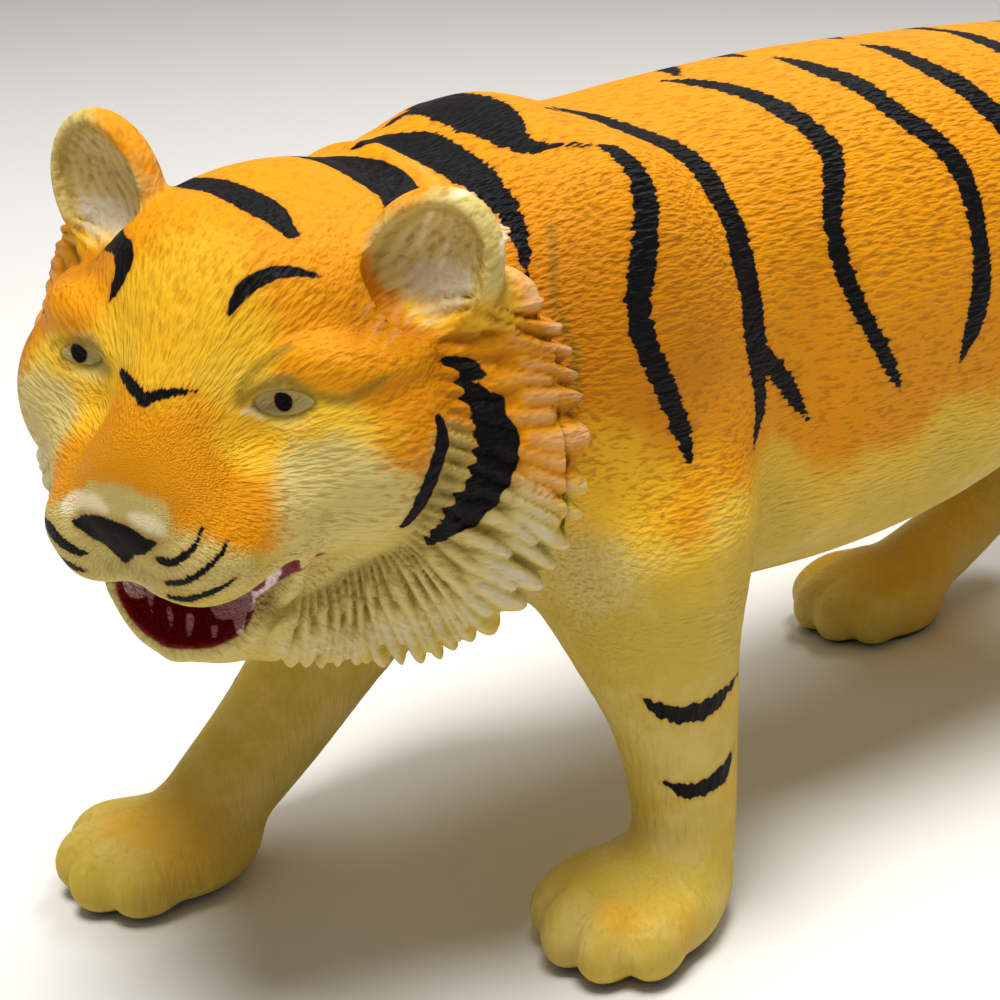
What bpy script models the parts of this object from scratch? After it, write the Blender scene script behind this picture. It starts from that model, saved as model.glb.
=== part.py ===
"""A walking tiger figurine with its mouth open, moulded in one piece of soft vinyl.

The tiger stands on Z = 0 and walks towards -Y, so that +X is its left side. It is built
the way a sculptor bulks out a figure: rounded masses are laid over each other, fused
into one skin, smoothed where they meet, and then the mouth and the ears are cut in.
"""
import math

import bmesh
import bpy
from mathutils import Matrix, Vector

# Driving dimensions, metres

# Trunk
back_height = 0.1053
trunk_front = -0.066
trunk_length = 0.173
trunk_width = 0.056
belly_height = 0.035
shoulder_width = 0.056
haunch_width = 0.058

# Legs and paws
fore_spread = 0.048
hind_spread = 0.044
paw_width = 0.0238
paw_length = 0.027
toe_height = 0.0102
foreleg_thickness = 0.0142
hindleg_thickness = 0.0138
left_fore_reach = -0.038
right_fore_reach = -0.081
right_hind_reach = 0.062
left_hind_reach = 0.103

# Tail
tail_thickness = 0.0092
tail_length = 0.049

# Head, whose own axes are left, forward and up from the middle between the eyes
head_turn = math.radians(27.5)
head_tilt = math.radians(4.4)
head_side = 0.0129
head_reach = 0.0347
eye_height = 0.0832
eye_spacing = 0.0248
skull_width = 0.047
skull_height = 0.036
cheek_width = 0.054
muzzle_width = 0.025
muzzle_reach = 0.0106
jaw_width = 0.021
jaw_drop = 0.0265
ruff_width = 0.065
ruff_locks = 9
lock_thickness = 0.0066
ear_size = 0.0164
ear_wall = 0.0018
ear_turn = math.radians(9)
mouth_height = 0.0092

# Skin: cell sizes of the fused mass and how far the joins are smoothed
coarse_cell = 0.0013
fine_cell = 0.00085
join_smoothing = 11
finish_smoothing = 3
skin_facets = 8800
hollow_facets = 1000

# Trunk outline: share of its length, drop below the back, rise above the belly, share of width
TRUNK = (
    (0.00, 0.0083, 0.0230, 0.46),
    (0.035, 0.0043, 0.0140, 0.71),
    (0.09, 0.0008, 0.0060, 0.89),
    (0.16, 0.0028, 0.0030, 0.95),
    (0.27, 0.0013, 0.0010, 0.95),
    (0.38, 0.0000, 0.0000, 1.00),
    (0.50, 0.0000, 0.0015, 1.00),
    (0.60, 0.0000, 0.0055, 0.93),
    (0.71, 0.0008, 0.0100, 0.88),
    (0.81, 0.0033, 0.0150, 0.93),
    (0.90, 0.0083, 0.0190, 0.84),
    (0.965, 0.0173, 0.0250, 0.57),
    (1.00, 0.0293, 0.0330, 0.18),
)

# Legs, ankle to body: share of the height, bow to the rear, thickness over the ankle's
UPRIGHT_FORELEG = ((0.0, 0.0, 1.0), (0.13, 0.0014, 0.98), (0.33, 0.0016, 1.07), (0.53, 0.0011, 1.25),
                   (0.73, 0.0, 1.53), (1.0, 0.0, 1.84))
REACHING_FORELEG = ((0.0, 0.0, 1.0), (0.07, 0.0007, 1.03), (0.24, 0.0029, 1.12), (0.44, 0.0039, 1.26),
                    (0.73, 0.0033, 1.59), (1.0, 0.0, 1.84))
REACHING_HINDLEG = ((0.0, 0.0, 1.05), (0.074, 0.0087, 0.98), (0.20, 0.0183, 0.98), (0.333, 0.0215, 1.06),
                    (0.52, 0.0076, 1.38), (0.72, -0.0020, 1.92), (1.0, 0.0, 2.62))
TRAILING_HINDLEG = ((0.0, 0.0, 1.05), (0.054, 0.0030, 0.98), (0.236, 0.0080, 0.97), (0.38, 0.0095, 1.03),
                    (0.564, -0.0014, 1.38), (0.727, -0.0066, 1.92), (1.0, 0.0, 2.62))

# Tail: share of its length behind the rump, share of the drop, side step, thickness
TAIL = (
    (-0.16, -0.05, 0.000, 1.52),
    (0.04, 0.09, 0.000, 1.30),
    (0.18, 0.30, 0.002, 1.13),
    (0.27, 0.54, 0.005, 1.00),
    (0.37, 0.76, 0.008, 0.93),
    (0.53, 0.91, 0.010, 0.91),
    (0.76, 0.98, 0.010, 0.96),
    (1.00, 0.93, 0.009, 0.70),
)

rump_height = 0.086
tail_tip_height = 0.024
ankle_height = 0.007
foreleg_top = belly_height + 0.017
hindleg_top = belly_height + 0.027
shoulder_y = trunk_front + 0.020
haunch_y = trunk_front + 0.845 * trunk_length


def clear_scene():
    for item in list(bpy.data.objects):
        bpy.data.objects.remove(item, do_unlink=True)


def curve_through(stations, steps):
    """Points on a smooth curve through the stations, each a tuple of numbers."""
    first, last = stations[0], stations[-1]
    ends = [first, *stations, last]
    points = []
    for p0, p1, p2, p3 in zip(ends, ends[1:], ends[2:], ends[3:]):
        for step in range(steps):
            t = step / steps
            weights = (
                -0.5 * t + t * t - 0.5 * t ** 3,
                1 - 2.5 * t * t + 1.5 * t ** 3,
                0.5 * t + 2 * t * t - 1.5 * t ** 3,
                -0.5 * t * t + 0.5 * t ** 3,
            )
            points.append(tuple(sum(w * v for w, v in zip(weights, values)) for values in zip(p0, p1, p2, p3)))
    points.append(last)
    return points


def skin_rings(bm, rings):
    """A closed shell over rings of points that all have the same count."""
    loops = [[bm.verts.new(point) for point in ring] for ring in rings]
    for near, far in zip(loops, loops[1:]):
        for i in range(len(near)):
            j = (i + 1) % len(near)
            bm.faces.new((near[i], near[j], far[j], far[i]))
    bm.faces.new(loops[0][::-1])
    bm.faces.new(loops[-1])


def ball(bm, centre, radii, axes=None, rounds=32):
    """An ellipsoid, with its radii along the three axes given."""
    turn = axes or Matrix.Identity(3)
    frame = Matrix.Translation(centre) @ turn.to_4x4() @ Matrix.Diagonal((*radii, 1))
    bmesh.ops.create_uvsphere(bm, u_segments=rounds, v_segments=rounds // 2, radius=1, matrix=frame)


def tube(bm, stations, sides=24, steps=4):
    """A round limb through stations of x, y, z and radius, with ball ends."""
    points = curve_through(stations, steps)
    rings = []
    across = Vector((1, 0, 0))
    for index, (x, y, z, radius) in enumerate(points):
        before, after = points[max(index - 1, 0)], points[min(index + 1, len(points) - 1)]
        along = (Vector(after[:3]) - Vector(before[:3])).normalized()
        across = (across - along * across.dot(along)).normalized()
        other = along.cross(across)
        ring = []
        for k in range(sides):
            angle = 2 * math.pi * k / sides
            ring.append(Vector((x, y, z)) + radius * (math.cos(angle) * across + math.sin(angle) * other))
        rings.append(ring)
    skin_rings(bm, rings)
    for x, y, z, radius in (points[0], points[-1]):
        ball(bm, Vector((x, y, z)), (radius, radius, radius))


def trunk(bm, sides=48, fullness=2.25):
    """Ribcage, belly and rump: upright rings, a little squarer than an ellipse."""
    rings = []
    for share, drop, rise, width in curve_through(TRUNK, 3):
        top = back_height - drop
        low = belly_height + rise
        half = trunk_width * width / 2
        ring = []
        for k in range(sides):
            angle = -2 * math.pi * k / sides
            c, s = math.cos(angle), math.sin(angle)
            x = half * math.copysign(abs(c) ** (2 / fullness), c)
            z = (top + low) / 2 + (top - low) / 2 * math.copysign(abs(s) ** (2 / fullness), s)
            ring.append(Vector((x, trunk_front + share * trunk_length, z)))
        rings.append(ring)
    skin_rings(bm, rings)


def shoulders_and_haunches(bm):
    """Broad muscles on the sides of the trunk, with a ridge over each shoulder blade."""
    blade = back_height - 0.030
    for side in (1, -1):
        reach = -0.005 if side < 0 else 0.0
        outer = side * shoulder_width / 2
        ball(bm, Vector((outer - side * 0.0113, shoulder_y, blade)), (0.0128, 0.0150, 0.0260))
        arm = Vector((outer - side * 0.0090, shoulder_y + 0.005 + reach, foreleg_top + 0.002))
        ball(bm, arm, (0.0118, 0.0140, 0.0190))
        ridge = (
            (side * 0.011, shoulder_y - 0.007, blade + 0.017, 0.0052),
            (side * 0.015, shoulder_y - 0.002, blade + 0.005, 0.0062),
            (side * 0.018, shoulder_y + 0.005, blade - 0.011, 0.0067),
        )
        tube(bm, ridge)
        haunch = Vector((side * (haunch_width / 2 - 0.0127), haunch_y + side * 0.0035, hindleg_top + 0.006))
        ball(bm, haunch, (0.0145, 0.0230, 0.0290))


def leg(bm, outline, side, paw_y, body_y, top, spread, body_spread, thickness):
    """One leg from its ankle up into the body."""
    stations = []
    for share, bow, scale in outline:
        x = side * (spread + (body_spread - spread) * share ** 3) / 2
        y = paw_y + (body_y - paw_y) * share + bow
        z = ankle_height + (top - ankle_height) * share
        stations.append((x, y, z, thickness * scale / 2))
    tube(bm, stations)


def paw(bm, x, heel_y, turn, top):
    """A heel pad with four toes, the middle two further forward."""
    forward = Vector((math.sin(turn), -math.cos(turn), 0))
    left = Vector((math.cos(turn), math.sin(turn), 0))
    axes = Matrix((left, forward, Vector((0, 0, 1)))).transposed()
    centre = Vector((x, heel_y, 0.0045)) + forward * paw_length * 0.33
    ball(bm, centre, (paw_width * 0.46, paw_length * 0.47, top), axes)
    for place, ahead, size in ((-0.31, 0.23, 0.185), (-0.113, 0.34, 0.205), (0.113, 0.34, 0.205), (0.31, 0.23, 0.185)):
        toe = centre + left * paw_width * place + forward * paw_length * ahead
        width = paw_width * size
        ball(bm, toe, (width * 0.86, width * 1.25, toe_height * size * 2.6), axes)


def legs_and_paws(bm, heels):
    """All four legs, walking; heels is the shell that takes the finer paws."""
    fore, hind = fore_spread, hind_spread
    fore_body, hind_body = fore_spread - 0.0075, hind_spread - 0.008
    leg(bm, UPRIGHT_FORELEG, 1, left_fore_reach, shoulder_y + 0.003, foreleg_top, fore, fore_body,
        foreleg_thickness)
    leg(bm, REACHING_FORELEG, -1, right_fore_reach, shoulder_y, foreleg_top, fore, fore_body,
        foreleg_thickness)
    leg(bm, REACHING_HINDLEG, -1, right_hind_reach, haunch_y, hindleg_top, hind, hind_body,
        hindleg_thickness)
    leg(bm, TRAILING_HINDLEG, 1, left_hind_reach, haunch_y + 0.0060, hindleg_top, hind, hind_body,
        hindleg_thickness)
    paw(heels, fore / 2 + 0.001, left_fore_reach, math.radians(14), 0.0073)
    paw(heels, -fore / 2, right_fore_reach + 0.003, math.radians(-6), 0.0065)
    paw(heels, -hind / 2, right_hind_reach - 0.002, math.radians(-4), 0.0088)
    paw(heels, hind / 2 + 0.001, left_hind_reach + 0.002, math.radians(4), 0.0083)


def tail(bm):
    """Hangs from the rump, then trails clear of the ground."""
    rump_y = trunk_front + trunk_length
    stations = []
    for back, drop, aside, scale in TAIL:
        z = rump_height + (tail_tip_height - rump_height) * drop
        stations.append((aside, rump_y + back * tail_length, z, tail_thickness * scale / 2))
    tube(bm, stations, sides=20)


def head_frame():
    """The head's origin between the eyes and its left, forward and up axes."""
    left = Vector((math.cos(head_turn), math.sin(head_turn), 0))
    forward = Vector((math.sin(head_turn), -math.cos(head_turn), 0))
    up = Vector((0, 0, 1))
    tilted_left = math.cos(head_tilt) * left - math.sin(head_tilt) * up
    tilted_up = math.sin(head_tilt) * left + math.cos(head_tilt) * up
    axes = Matrix((tilted_left, forward, tilted_up)).transposed()
    return Vector((head_side, trunk_front - head_reach, eye_height)), axes


class Head:
    """Places shells by their left, forward and up distances from between the eyes."""

    def __init__(self):
        self.origin, self.axes = head_frame()

    def at(self, left, forward, up):
        return self.origin + self.axes @ Vector((left, forward, up))

    def ball(self, bm, place, radii):
        ball(bm, self.at(*place), radii, self.axes)

    def neck(self, bm):
        nape = self.at(0, -0.026, -0.005)
        chest = Vector((0, trunk_front + 0.010, back_height - 0.031))
        tube(bm, [(*chest, 0.025), (*((chest + nape) / 2), 0.0235), (*nape, 0.022)])

    def skull(self, bm):
        self.ball(bm, (0, -0.020, -0.002), (skull_width / 2, 0.021, skull_height / 2))
        self.ball(bm, (0, -0.0095, 0.0065), (skull_width * 0.277, 0.009, 0.009))
        for side in (1, -1):
            cheek = side * (cheek_width / 2 - 0.0125)
            self.ball(bm, (cheek, -0.012, -0.008), (0.0125, 0.0115, 0.012))

    def muzzle(self, bm):
        bridge = [(*self.at(0, -0.005, 0.001), 0.0076),
                  (*self.at(0, muzzle_reach - 0.0061, -0.011), 0.0070)]
        tube(bm, bridge)
        self.ball(bm, (0, muzzle_reach - 0.0086, -0.013), (muzzle_width * 0.44, 0.008, 0.007))
        for side in (1, -1):
            pad = side * (muzzle_width / 2 - 0.0063)
            self.ball(bm, (pad, muzzle_reach - 0.0050, -0.016), (0.0072, 0.0064, 0.0062))
            flank = side * (muzzle_width / 2 - 0.0010)
            self.ball(bm, (flank, muzzle_reach - 0.0126, -0.0130), (0.0062, 0.0068, 0.0070))

    def brows(self, bm):
        """The heavy upper lids, which run out and back over the cheeks."""
        for side in (1, -1):
            inner = self.at(side * 0.0105, -0.0038, 0.0018)
            middle = self.at(side * 0.0150, -0.0062, 0.0026)
            outer = self.at(side * 0.0195, -0.0098, 0.0030)
            tube(bm, [(*inner, 0.0024), (*middle, 0.0034), (*outer, 0.0028)])

    def nose(self, bm):
        self.ball(bm, (0, muzzle_reach - 0.0018, -0.0124), (0.0055, 0.0034, 0.0028))

    def jaw(self, bm):
        self.ball(bm, (0, -0.0085, -jaw_drop), (jaw_width / 2, 0.011, 0.009))

    def ruff(self, bm):
        for side in (1, -1):
            outer = side * (ruff_width / 2 - 0.0085)
            self.ball(bm, (outer, -0.022, -0.010), (0.0085, 0.009, 0.017))
            self.ball(bm, (outer * 0.71, -0.020, -0.022), (0.010, 0.009, 0.011))
            self.ball(bm, (outer * 0.375, -0.020, -0.029), (0.008, 0.009, 0.008))

    def locks(self, bm):
        """Pointed locks of the ruff, fanned from under the ears to under the chin."""
        for side in (1, -1):
            for index in range(ruff_locks):
                around = math.radians(22 + 98 * index / max(ruff_locks - 1, 1))
                across, down = side * math.sin(around), math.cos(around)
                root = self.at(across * ruff_width * 0.32, -0.015, -0.008 - down * 0.016)
                bend = self.at(across * ruff_width * 0.44, -0.019, -0.008 - down * 0.022)
                tip = self.at(across * ruff_width * 0.50, -0.026, -0.009 - down * 0.026)
                thick = lock_thickness / 2
                tube(bm, [(*root, thick), (*bend, thick * 0.86), (*tip, thick * 0.33)], sides=12, steps=3)

    def eyes(self, bm):
        for side in (1, -1):
            ball(bm, self.at(side * eye_spacing / 2, -0.0036, 0), (0.0036, 0.0034, 0.0032), self.axes, 16)

    def ear_axes(self, side):
        """Ears face forward and a little outward."""
        return self.axes @ Matrix.Rotation(-side * ear_turn, 3, "Z")

    def ear_place(self, side):
        return self.at(side * (skull_width / 2 - 0.0036), -0.0172, skull_height / 2 - 0.0062)

    def ears(self, bm):
        for side in (1, -1):
            radius = ear_size / 2
            ball(bm, self.ear_place(side), (radius, 0.0034, radius), self.ear_axes(side))

    def ear_cups(self, bm):
        for side in (1, -1):
            axes = self.ear_axes(side)
            centre = self.ear_place(side) + axes @ Vector((0, 0.0027, 0))
            radius = ear_size / 2 - ear_wall
            ball(bm, centre, (radius, 0.0033, radius), axes)

    def sockets(self, bm):
        for side in (1, -1):
            self.ball(bm, (side * (eye_spacing / 2 + 0.0006), 0.0036, 0), (0.006, 0.0036, 0.003))

    def mouth(self, bm):
        middle = 0.0013 - jaw_drop
        self.ball(bm, (0, 0.0005, middle), (jaw_width * 0.37, 0.009, mouth_height / 2))
        for side in (1, -1):
            inner = self.at(side * 0.004, 0, middle + 0.0012)
            corner = self.at(side * (jaw_width / 2 + 0.004), -0.0005, middle + 0.0087)
            tube(bm, [(*inner, mouth_height * 0.37), (*corner, 0.0012)], sides=16)


def object_from(bm, name):
    mesh = bpy.data.meshes.new(name)
    bmesh.ops.recalc_face_normals(bm, faces=bm.faces)
    bm.to_mesh(mesh)
    bm.free()
    item = bpy.data.objects.new(name, mesh)
    bpy.context.scene.collection.objects.link(item)
    return item


def apply_modifiers(item):
    """Keep the evaluated shape as the object's own mesh."""
    evaluated = item.evaluated_get(bpy.context.evaluated_depsgraph_get())
    shape = bpy.data.meshes.new_from_object(evaluated)
    item.modifiers.clear()
    item.data = shape


def fuse(item, cell, smoothing):
    """One skin over every shell of the object, eased where they meet."""
    remesh = item.modifiers.new("one_skin", "REMESH")
    remesh.mode = "VOXEL"
    remesh.voxel_size = cell
    ease = item.modifiers.new("ease_joins", "SMOOTH")
    ease.factor = 0.5
    ease.iterations = smoothing
    apply_modifiers(item)


def thin_out(item, facets):
    """Fewer, larger triangles where the skin is flat."""
    triangles = sum(len(face.vertices) - 2 for face in item.data.polygons)
    fewer = item.modifiers.new("fewer_facets", "DECIMATE")
    fewer.ratio = min(1.0, facets / triangles)
    apply_modifiers(item)


def combine(item, other, operation):
    """Join the other shape to the object, or cut it out."""
    boolean = item.modifiers.new("combine", "BOOLEAN")
    boolean.operation = operation
    boolean.solver = "EXACT"
    boolean.object = other
    apply_modifiers(item)
    bpy.data.objects.remove(other, do_unlink=True)


def floor_block():
    """Everything below the ground, which leaves flat soles under the paws."""
    depth = 0.05
    bm = bmesh.new()
    place = Matrix.Translation((0, 0, -depth / 2)) @ Matrix.Diagonal((1, 1, depth, 1))
    bmesh.ops.create_cube(bm, size=1, matrix=place)
    return object_from(bm, "floor_block")


def vinyl():
    material = bpy.data.materials.new("painted_soft_vinyl")
    material.use_nodes = True
    surface = material.node_tree.nodes["Principled BSDF"]
    surface.inputs["Base Color"].default_value = (0.83, 0.40, 0.07, 1)
    surface.inputs["Roughness"].default_value = 0.45
    surface.inputs["Metallic"].default_value = 0.0
    return material


def stand_on_origin(item):
    """Put the origin on the ground under the middle of the figure."""
    corners = [Vector(corner) for corner in item.bound_box]
    low = Vector([min(corner[axis] for corner in corners) for axis in range(3)])
    high = Vector([max(corner[axis] for corner in corners) for axis in range(3)])
    middle = (low + high) / 2
    item.data.transform(Matrix.Translation((-middle.x, -middle.y, -low.z)))


def tiger():
    head = Head()
    masses = bmesh.new()
    fine = bmesh.new()
    trunk(masses)
    shoulders_and_haunches(masses)
    legs_and_paws(masses, fine)
    tail(masses)
    head.neck(masses)
    head.skull(masses)
    head.muzzle(masses)
    head.brows(masses)
    head.ruff(masses)
    body = object_from(masses, "tiger")
    fuse(body, coarse_cell, join_smoothing)

    head.nose(fine)
    head.jaw(fine)
    head.locks(fine)
    head.ears(fine)
    fine.from_mesh(body.data)
    bpy.data.objects.remove(body, do_unlink=True)
    body = object_from(fine, "tiger")
    fuse(body, fine_cell, finish_smoothing)
    thin_out(body, skin_facets)

    hollows = bmesh.new()
    head.ear_cups(hollows)
    head.sockets(hollows)
    head.mouth(hollows)
    hollow = object_from(hollows, "hollows")
    fuse(hollow, fine_cell, 1)
    thin_out(hollow, hollow_facets)
    combine(body, hollow, "DIFFERENCE")

    eyes = bmesh.new()
    head.eyes(eyes)
    combine(body, object_from(eyes, "eyes"), "UNION")
    combine(body, floor_block(), "DIFFERENCE")
    stand_on_origin(body)
    body.data.materials.clear()
    body.data.materials.append(vinyl())
    body.data.shade_smooth()
    return body


clear_scene()
tiger()
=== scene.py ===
# %% [markdown]
# # A moulded vinyl tiger
# The real object is a walking toy tiger, cast in soft vinyl in one piece and painted by hand: yellow-cream
# plastic, an orange airbrush coat on the back, black brushed stripes, a red mouth and small painted eyes.
# A casting like this was first a clay original, so it is made here as clay too: lumps and rolls are pressed
# onto each other, the skin of the whole is taken off as a mesh, and the paint follows in the order of the
# factory: plastic, airbrush, dry brush, black stripes. The imported CAD model gives the frame and the size.

# %% Load the frame
import bpy
import numpy as np
from mathutils import Matrix


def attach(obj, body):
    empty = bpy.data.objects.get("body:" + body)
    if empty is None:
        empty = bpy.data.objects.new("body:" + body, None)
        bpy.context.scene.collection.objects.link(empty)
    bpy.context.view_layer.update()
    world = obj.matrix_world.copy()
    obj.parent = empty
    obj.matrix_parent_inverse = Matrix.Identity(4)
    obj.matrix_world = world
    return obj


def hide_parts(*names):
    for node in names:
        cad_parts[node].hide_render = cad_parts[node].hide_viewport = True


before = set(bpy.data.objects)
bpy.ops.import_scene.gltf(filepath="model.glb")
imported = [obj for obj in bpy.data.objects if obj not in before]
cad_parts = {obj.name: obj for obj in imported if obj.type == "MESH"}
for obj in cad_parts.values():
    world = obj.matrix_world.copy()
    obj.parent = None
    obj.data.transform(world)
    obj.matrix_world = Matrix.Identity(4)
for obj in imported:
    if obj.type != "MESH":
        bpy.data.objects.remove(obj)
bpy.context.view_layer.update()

# %% [markdown]
# ## The modelling stand
# The sculpting is done in millimetres on a stand whose Y axis runs to the tail and whose X axis is the
# tiger's left. The CAD model was centred on its box, so one shift and one scale lead from the stand to it.

# %% From the stand to the frame
STAND_SHIFT = np.array([1.5, 22.4, 0.0])
MILLIMETRE = 0.001


def to_frame(points):
    """Moves points from the stand in millimetres to the CAD frame in metres."""
    return (np.asarray(points, float) - STAND_SHIFT) * MILLIMETRE


# %% [markdown]
# ## The camera
# The photograph was taken from just above the animal's left shoulder, close by, so near parts look large.
# The camera was found by matching the soles, the back line and the head, and the same numbers later throw
# the painted marks onto the clay. Its focal length is written in pixels of the square photograph.

# %% Camera
IMAGE = 1000
FOCAL = 2000.0
EYE_POINT = np.array([187.0, -197.0, 145.0])
HEADING, DIP = np.radians(51.6), np.arctan(770 / 2000)
RIGHT = np.array([np.cos(HEADING), np.sin(HEADING), 0.0])
LEVEL = np.array([-np.sin(HEADING), np.cos(HEADING), 0.0])
AHEAD = np.cos(DIP) * LEVEL - np.sin(DIP) * np.array([0, 0, 1.0])
OVERHEAD = np.sin(DIP) * LEVEL + np.cos(DIP) * np.array([0, 0, 1.0])


def hung(name, data, right, up, back, at):
    """A camera or lamp in the scene, its three axes and its place written as the columns of one matrix."""
    thing = bpy.data.objects.new(name, data)
    bpy.context.scene.collection.objects.link(thing)
    columns = np.eye(4)
    for i, column in enumerate((right, up, back, at)):
        columns[:3, i] = column
    thing.matrix_world = Matrix(columns.tolist())
    return thing


lens = bpy.data.cameras.new("camera")
lens.sensor_width = 36
lens.lens = 36 * FOCAL / IMAGE
lens.clip_start = 0.01
bpy.context.scene.camera = hung("camera", lens, RIGHT, OVERHEAD, -AHEAD, to_frame(EYE_POINT))
print("camera at", np.round(to_frame(EYE_POINT), 4), "lens", lens.lens)

# %% [markdown]
# ## Clay
# A surface with ears, locks of fur, a lip and toes that flow into one another can't be one sheet over two
# parameters, so the clay is a distance field: a block of numbers that are negative inside the clay. Each
# lump gives its own distance as whole arrays, and a soft minimum presses it on with a fillet, or cuts it
# out. It needs no modelling by hand, it can be redone at any fineness, and every fillet is a number.

# %% The soft minimum and the shapes of the clay
def ease_min(a, b, ease):
    """The smaller of two distances, with the corner between them rounded over a width of ease."""
    share = np.clip(0.5 + 0.5 * (b - a) / ease, 0, 1)
    return b + (a - b) * share - ease * share * (1 - share)


def oval(centre, radii, axes=np.eye(3)):
    """An ellipsoid: how far the point is out in radii, times that less one, over the length of its slope."""
    centre, radii = np.asarray(centre, float), np.asarray(radii, float)

    def shape(x, y, z):
        x, y, z = x - centre[0], y - centre[1], z - centre[2]
        local = [a[0] * x + a[1] * y + a[2] * z for a in axes]
        near = np.sqrt(sum((q / r) ** 2 for q, r in zip(local, radii)))
        slope = np.sqrt(sum((q / r ** 2) ** 2 for q, r in zip(local, radii))) + 1e-6
        return near * (near - 1) / slope
    half = np.sqrt(((axes * radii[:, None]) ** 2).sum(0))
    return shape, centre - half, centre + half


def curve(stations, count):
    """A smooth path through the stations: each span is a cubic whose slopes are the chords beside it."""
    p = np.asarray(stations, float)
    p = np.vstack([2 * p[0] - p[1], p, 2 * p[-1] - p[-2]])
    t = np.linspace(0, len(p) - 3, count)
    i = np.minimum(t.astype(int), len(p) - 4)
    f = (t - i)[:, None]
    a, b, c, d = p[i], p[i + 1], p[i + 2], p[i + 3]
    bend, twist = 2 * a - 5 * b + 4 * c - d, 3 * b - a - 3 * c + d
    return 0.5 * (2 * b + (c - a) * f + bend * f ** 2 + twist * f ** 3)


def sausage(stations, spans=3):
    """A roll along a smooth path of (x, y, z, radius): the least distance to any of its short cones."""
    s = np.asarray(stations, float)
    p = curve(s, spans * (len(s) - 1) + 1)

    def shape(x, y, z):
        least = 99.0
        for start, end in zip(p, p[1:]):
            run = end[:3] - start[:3]
            u, v, w = x - start[0], y - start[1], z - start[2]
            t = np.clip((u * run[0] + v * run[1] + w * run[2]) / (run @ run + 1e-9), 0, 1)
            gap = np.sqrt((u - t * run[0]) ** 2 + (v - t * run[1]) ** 2 + (w - t * run[2]) ** 2)
            least = np.minimum(least, gap - (start[3] + t * (end[3] - start[3])))
        return least
    return shape, (p[:, :3] - p[:, 3:]).min(0), (p[:, :3] + p[:, 3:]).max(0)


# %% [markdown]
# The work on the clay is written down as a list of steps before any clay exists. Each block of clay, coarse
# for measuring and fine for the finished mesh, then goes through the same steps, and each step only touches
# the window of the block that it can reach.

# %% The list of steps
STEPS = []


def press_on(shape, ease):
    """Adds a lump or roll to the list, with a fillet as wide as ease."""
    STEPS.append((1, shape, ease))


def cut_out(shape, ease):
    """Adds a hollow to the list, its edge rounded by ease."""
    STEPS.append((-1, shape, ease))


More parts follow.
